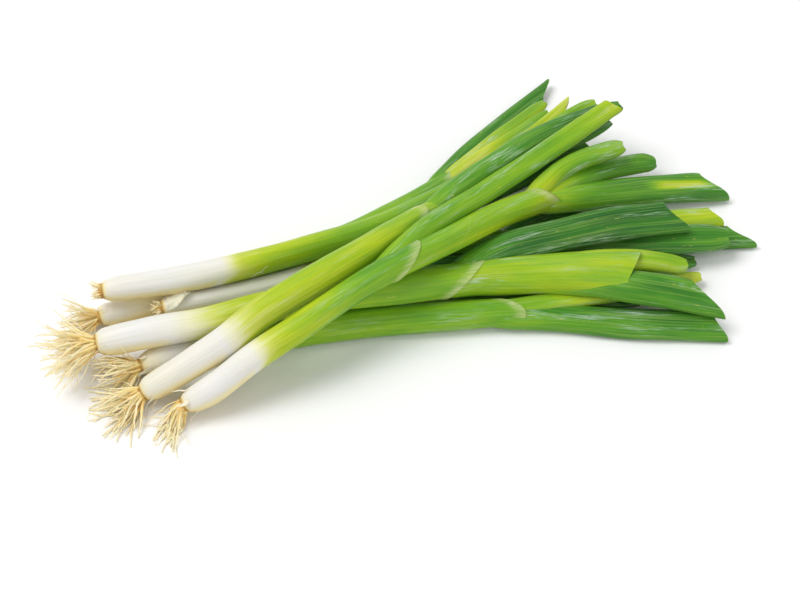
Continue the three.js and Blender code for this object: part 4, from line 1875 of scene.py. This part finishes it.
@dataclass(frozen=True)
class LooseSkin:
    """The papery flap that stands off one base, torn strips at others and a fibre on a stem."""

    rows: int = 14
    flap_stem: str = "c"
    flap_places: Sequence[float] = (3.0, 14.0)
    flap_columns: int = 16
    flap_turn: float = math.radians(96.0)
    flap_spread: float = math.radians(58.0)
    flap_end_spread: float = 0.05
    flap_narrowing: float = 1.5
    flap_stand: float = 0.2
    flap_lift: float = 3.2
    flap_bend: float = 1.6
    flap_curl: float = 0.7
    flap_ripple: float = 0.12
    flap_ripple_rates: Sequence[float] = (1.3, 0.6)
    flap_teeth: float = 0.8
    flap_teeth_rate: float = 2.3
    flap_point: float = 2.4
    flap_thickness: float = 0.18
    strip_thickness: float = 0.11
    strip_stand: float = 0.3
    strip_lift: float = 0.42
    strip_bend: float = 1.7
    strip_ripple: float = 0.25
    strip_ripple_rate: float = 9.0
    strip_shortening: float = 0.12
    strip_sway: float = 1.1
    strip_sway_rate: float = 3.0
    strip_narrowing: float = 0.85
    strip_point: float = 1.5
    strip_twist: float = math.radians(70.0)
    fibre_stem: str = "e"
    fibre_places: Sequence[float] = (71.0, 80.0)
    fibre_sides: int = 6
    fibre_radii: Sequence[float] = (0.24, 0.1)
    fibre_flatness: float = 0.7
    fibre_stand: float = 0.3
    fibre_bends: float = 4.0
    fibre_turns: Sequence[float] = (196.0, 158.0)
    fork_turns: Sequence[float] = (178.0, 198.0)
    fork_shorter: float = 2.0
    tatters: Sequence[Tatter] = (
        Tatter("f", 5.0, 205.0, 8.0, 1.3),
        Tatter("f", 4.0, 175.0, 7.0, 0.9),
        Tatter("f", 6.0, 228.0, 10.0, 1.0),
        Tatter("g", 5.0, 200.0, 8.0, 0.9),
        Tatter("g", 3.5, 120.0, 6.5, 1.1),
        Tatter("g", 5.5, 60.0, 8.0, 0.8),
        Tatter("d", 4.0, 195.0, 8.0, 1.0),
        Tatter("d", 5.0, 150.0, 7.0, 0.7),
        Tatter("a", 5.0, 160.0, 9.0, 1.2),
        Tatter("a", 4.0, 95.0, 7.0, 0.9),
        Tatter("b", 4.0, 110.0, 7.0, 0.8),
    )

    def build(self, plants: Sequence[Plant], finishes: Finishes) -> list[bpy.types.Object]:
        """Makes the flap, the fibre and the strips on their stems.

        Args:
            plants: the plants.
            finishes: the materials.

        Returns:
            The pieces.
        """
        routes = {plant.key: Route(plant.stem.route) for plant in plants}
        skins = [self.flap(routes[self.flap_stem]), self.fibre(routes[self.fibre_stem])]
        for number, tatter in enumerate(self.tatters, start=1):
            skins.append(self.strip(f"skin_tatter_{number}", routes[tatter.stem], tatter))
        return [lie_on(skin.build([finishes[Finish.MEMBRANE]])) for skin in skins]

    def flap(self, route: Route) -> Skin:
        """A thin curled triangle of dry skin that lifts off the stem.

        Args:
            route: the stem's route.

        Returns:
            The flap's skin.
        """
        distance = np.linspace(*self.flap_places, self.rows)
        place, size, ahead, across, over = route.frames(route.share_at(distance))
        row = np.arange(self.rows)[:, None]
        column = np.arange(self.flap_columns)
        share = row / (self.rows - 1)
        side = (column / (self.flap_columns - 1) - 0.5) * 2.0
        spread = self.flap_spread * (1.0 - share**self.flap_narrowing) + self.flap_end_spread
        angle = self.flap_turn + spread * side
        rise = self.flap_stand + self.flap_lift * share**self.flap_bend
        across_rate, along_rate = self.flap_ripple_rates
        ripple = self.flap_ripple * np.sin(column * across_rate + row * along_rate)
        lift = rise + self.flap_curl * side * side * share + ripple
        teeth = self.flap_teeth * np.sin(column * self.flap_teeth_rate)
        ragged = share * (teeth - self.flap_point * side * side)
        layers = []
        for inner in (0.0, self.flap_thickness):
            radius = size[:, :1] + lift - inner
            points = round_line(place, across, over, np.cos(angle) * radius, np.sin(angle) * radius)
            layers.append(points + ahead[:, None] * ragged[..., None])
        skin = Skin("loose_skin_flap")
        skin.add_thread(np.concatenate([layers[0], layers[1][:, ::-1]], axis=1))
        return skin

    def strip(self, name: str, route: Route, tatter: Tatter) -> Skin:
        """A thin strip of dry skin that peels off near a base and curls out over the roots.

        Args:
            name: the piece's name.
            route: the stem's route.
            tatter: its places and sizes.

        Returns:
            The strip's skin.
        """
        frames = route.frames(route.share_at(np.array([tatter.start])))
        place, size, ahead, across, over = (part[0] for part in frames)
        turn = math.radians(tatter.turn)
        outward = across * math.cos(turn) + over * math.sin(turn)
        sideways = np.cross(ahead, outward)
        share = np.linspace(0.0, 1.0, self.rows)[:, None]
        ripple = self.strip_ripple * np.sin(share * self.strip_ripple_rate + tatter.turn)
        lift = self.strip_stand + tatter.length * self.strip_lift * share**self.strip_bend + ripple
        back = ahead * tatter.length * (share - self.strip_shortening * share**2)
        sway = np.sin(share * self.strip_sway_rate + tatter.turn) * share
        middle = place + outward * (size[0] + lift) - back + sideways * self.strip_sway * sway
        twist = self.strip_twist * share * math.sin(tatter.turn)
        side = sideways * np.cos(twist) + outward * np.sin(twist)
        reach = side * tatter.width * (1.0 - self.strip_narrowing * share**self.strip_point)
        thick = np.cross(ahead, side) * self.strip_thickness
        skin = Skin(name)
        skin.add_thread(np.stack([middle + reach, middle + thick, middle - reach, middle - thick], axis=1))
        return skin

    def fibre(self, route: Route) -> Skin:
        """A forked pale fibre that clings to the stem.

        Args:
            route: the stem's route.

        Returns:
            The fibre's skin.
        """
        skin = Skin("loose_skin_fibre")
        low, high = self.fibre_places
        angle = ring_angles(self.fibre_sides)
        radius = np.linspace(*self.fibre_radii, self.rows)[:, None]
        for start, end, turns in (
            (low, high, self.fibre_turns),
            ((low + high) / 2.0, high - self.fork_shorter, self.fork_turns),
        ):
            distance = np.linspace(start, end, self.rows)
            place, size, ahead, across, over = route.frames(route.share_at(distance))
            bends = self.fibre_bends * np.sin(np.arange(self.rows))
            turn = np.radians(np.linspace(*turns, self.rows) + bends)[:, None]
            outward = across * np.cos(turn) + over * np.sin(turn)
            middle = place + outward * (size[:, :1] + self.fibre_stand)
            lift = radius * np.cos(angle) * self.fibre_flatness
            side = np.cross(ahead, outward)
            skin.add_thread(round_line(middle, outward, side, lift, radius * np.sin(angle)))
        return skin


@dataclass(frozen=True)
class SoftBox:
    """A soft light: its name, its place and width in metres and its power in watts."""

    name: str
    place: tuple[float, float, float]
    size: float
    power: float


@dataclass(frozen=True)
class Studio:
    """The plain pale floor, the soft light and the camera."""

    floor_size: float = 6.0
    floor_drop: float = 0.0002
    floor_colour: Colour = (0.93, 0.93, 0.93, 1.0)
    floor_roughness: float = 0.9
    world_colour: Colour = (1.0, 1.0, 1.0, 1.0)
    world_strength: float = 0.45
    lights: Sequence[SoftBox] = (
        SoftBox("key_light", (-1.65, 0.90, 3.30), 2.1, 91.0),
        SoftBox("back_light", (1.65, 2.55, 2.25), 2.7, 21.6),
        SoftBox("fill_light", (1.05, -3.0, 2.25), 3.6, 41.5),
    )

    def build(self) -> None:
        """Makes the studio.

        The colours are shown as they are, with no film look over them.
        """
        self.add_camera()
        self.add_floor()
        self.add_lights()
        bpy.context.scene.view_settings.view_transform = "Standard"

    def add_camera(self) -> None:
        """Puts the camera where the photograph was taken from."""
        level, rise = math.cos(VIEW_ELEVATION), math.sin(VIEW_ELEVATION)
        back = Vector((math.sin(VIEW_AZIMUTH) * level, -math.cos(VIEW_AZIMUTH) * level, rise))
        right = (-back).cross(Vector(UP)).normalized()
        upward = right.cross(-back)
        ray = -back * LENS_MM / SENSOR_MM * IMAGE_WIDTH + right * (ORIGIN_PIXEL[0] - IMAGE_WIDTH / 2)
        ray -= upward * (ORIGIN_PIXEL[1] - IMAGE_HEIGHT / 2)
        place = -ray * MM_PER_PIXEL - Vector(MIDDLE)
        data = bpy.data.cameras.new("camera")
        data.lens = LENS_MM
        data.sensor_width = SENSOR_MM
        camera = bpy.data.objects.new("camera", data)
        turned = Matrix((right, upward, back)).transposed().to_4x4()
        camera.matrix_world = Matrix.Translation(place * MM) @ turned
        bpy.context.collection.objects.link(camera)
        bpy.context.scene.camera = camera

    def add_floor(self) -> None:
        """Adds the pale floor just under the bunch."""
        half = self.floor_size / 2.0
        mesh = bpy.data.meshes.new("floor")
        corners = [(-half, -half, 0.0), (half, -half, 0.0), (half, half, 0.0), (-half, half, 0.0)]
        mesh.from_pydata(corners, [], [(0, 1, 2, 3)])
        material = bpy.data.materials.new("pale_floor")
        material.use_nodes = True
        shader = material.node_tree.nodes["Principled BSDF"]
        shader.inputs["Base Color"].default_value = self.floor_colour
        shader.inputs["Roughness"].default_value = self.floor_roughness
        mesh.materials.append(material)
        floor = bpy.data.objects.new("floor", mesh)
        floor.location.z = -self.floor_drop
        bpy.context.collection.objects.link(floor)

    def add_lights(self) -> None:
        """Adds the sky light and the soft boxes, each facing the bunch."""
        world = bpy.data.worlds.new("studio")
        world.use_nodes = True
        sky = world.node_tree.nodes["Background"]
        sky.inputs["Color"].default_value = self.world_colour
        sky.inputs["Strength"].default_value = self.world_strength
        bpy.context.scene.world = world
        for box in self.lights:
            data = bpy.data.lights.new(box.name, "AREA")
            data.size = box.size
            data.energy = box.power
            light = bpy.data.objects.new(box.name, data)
            light.location = box.place
            light.rotation_mode = "QUATERNION"
            light.rotation_quaternion = (-Vector(box.place)).to_track_quat("-Z", "Y")
            bpy.context.collection.objects.link(light)


def stem_obstacles(plants: Sequence[Plant]) -> dict[str, np.ndarray]:
    """Rows of x, y, z and radius along every stem, by plant."""
    shares = np.linspace(0.0, 1.0, OBSTACLE_SAMPLES)
    return {plant.key: Route(plant.stem.route).values(shares)[:, :4] for plant in plants}


def main() -> None:
    """Builds the studio and every plant, and reports each piece."""
    logging.basicConfig(level=logging.INFO, format="%(message)s")
    Studio().build()
    finishes = Palette().build()
    plants = make_plants()
    stems = stem_obstacles(plants)
    pieces = []
    for plant in plants:
        others = np.vstack([rows for key, rows in stems.items() if key != plant.key])
        pieces += plant.build(finishes, others)
    pieces += LooseSkin().build(plants, finishes)
    for piece in pieces:
        logging.info("%s: %d faces", piece.name, len(piece.data.polygons))


if __name__ == "__main__":
    main()
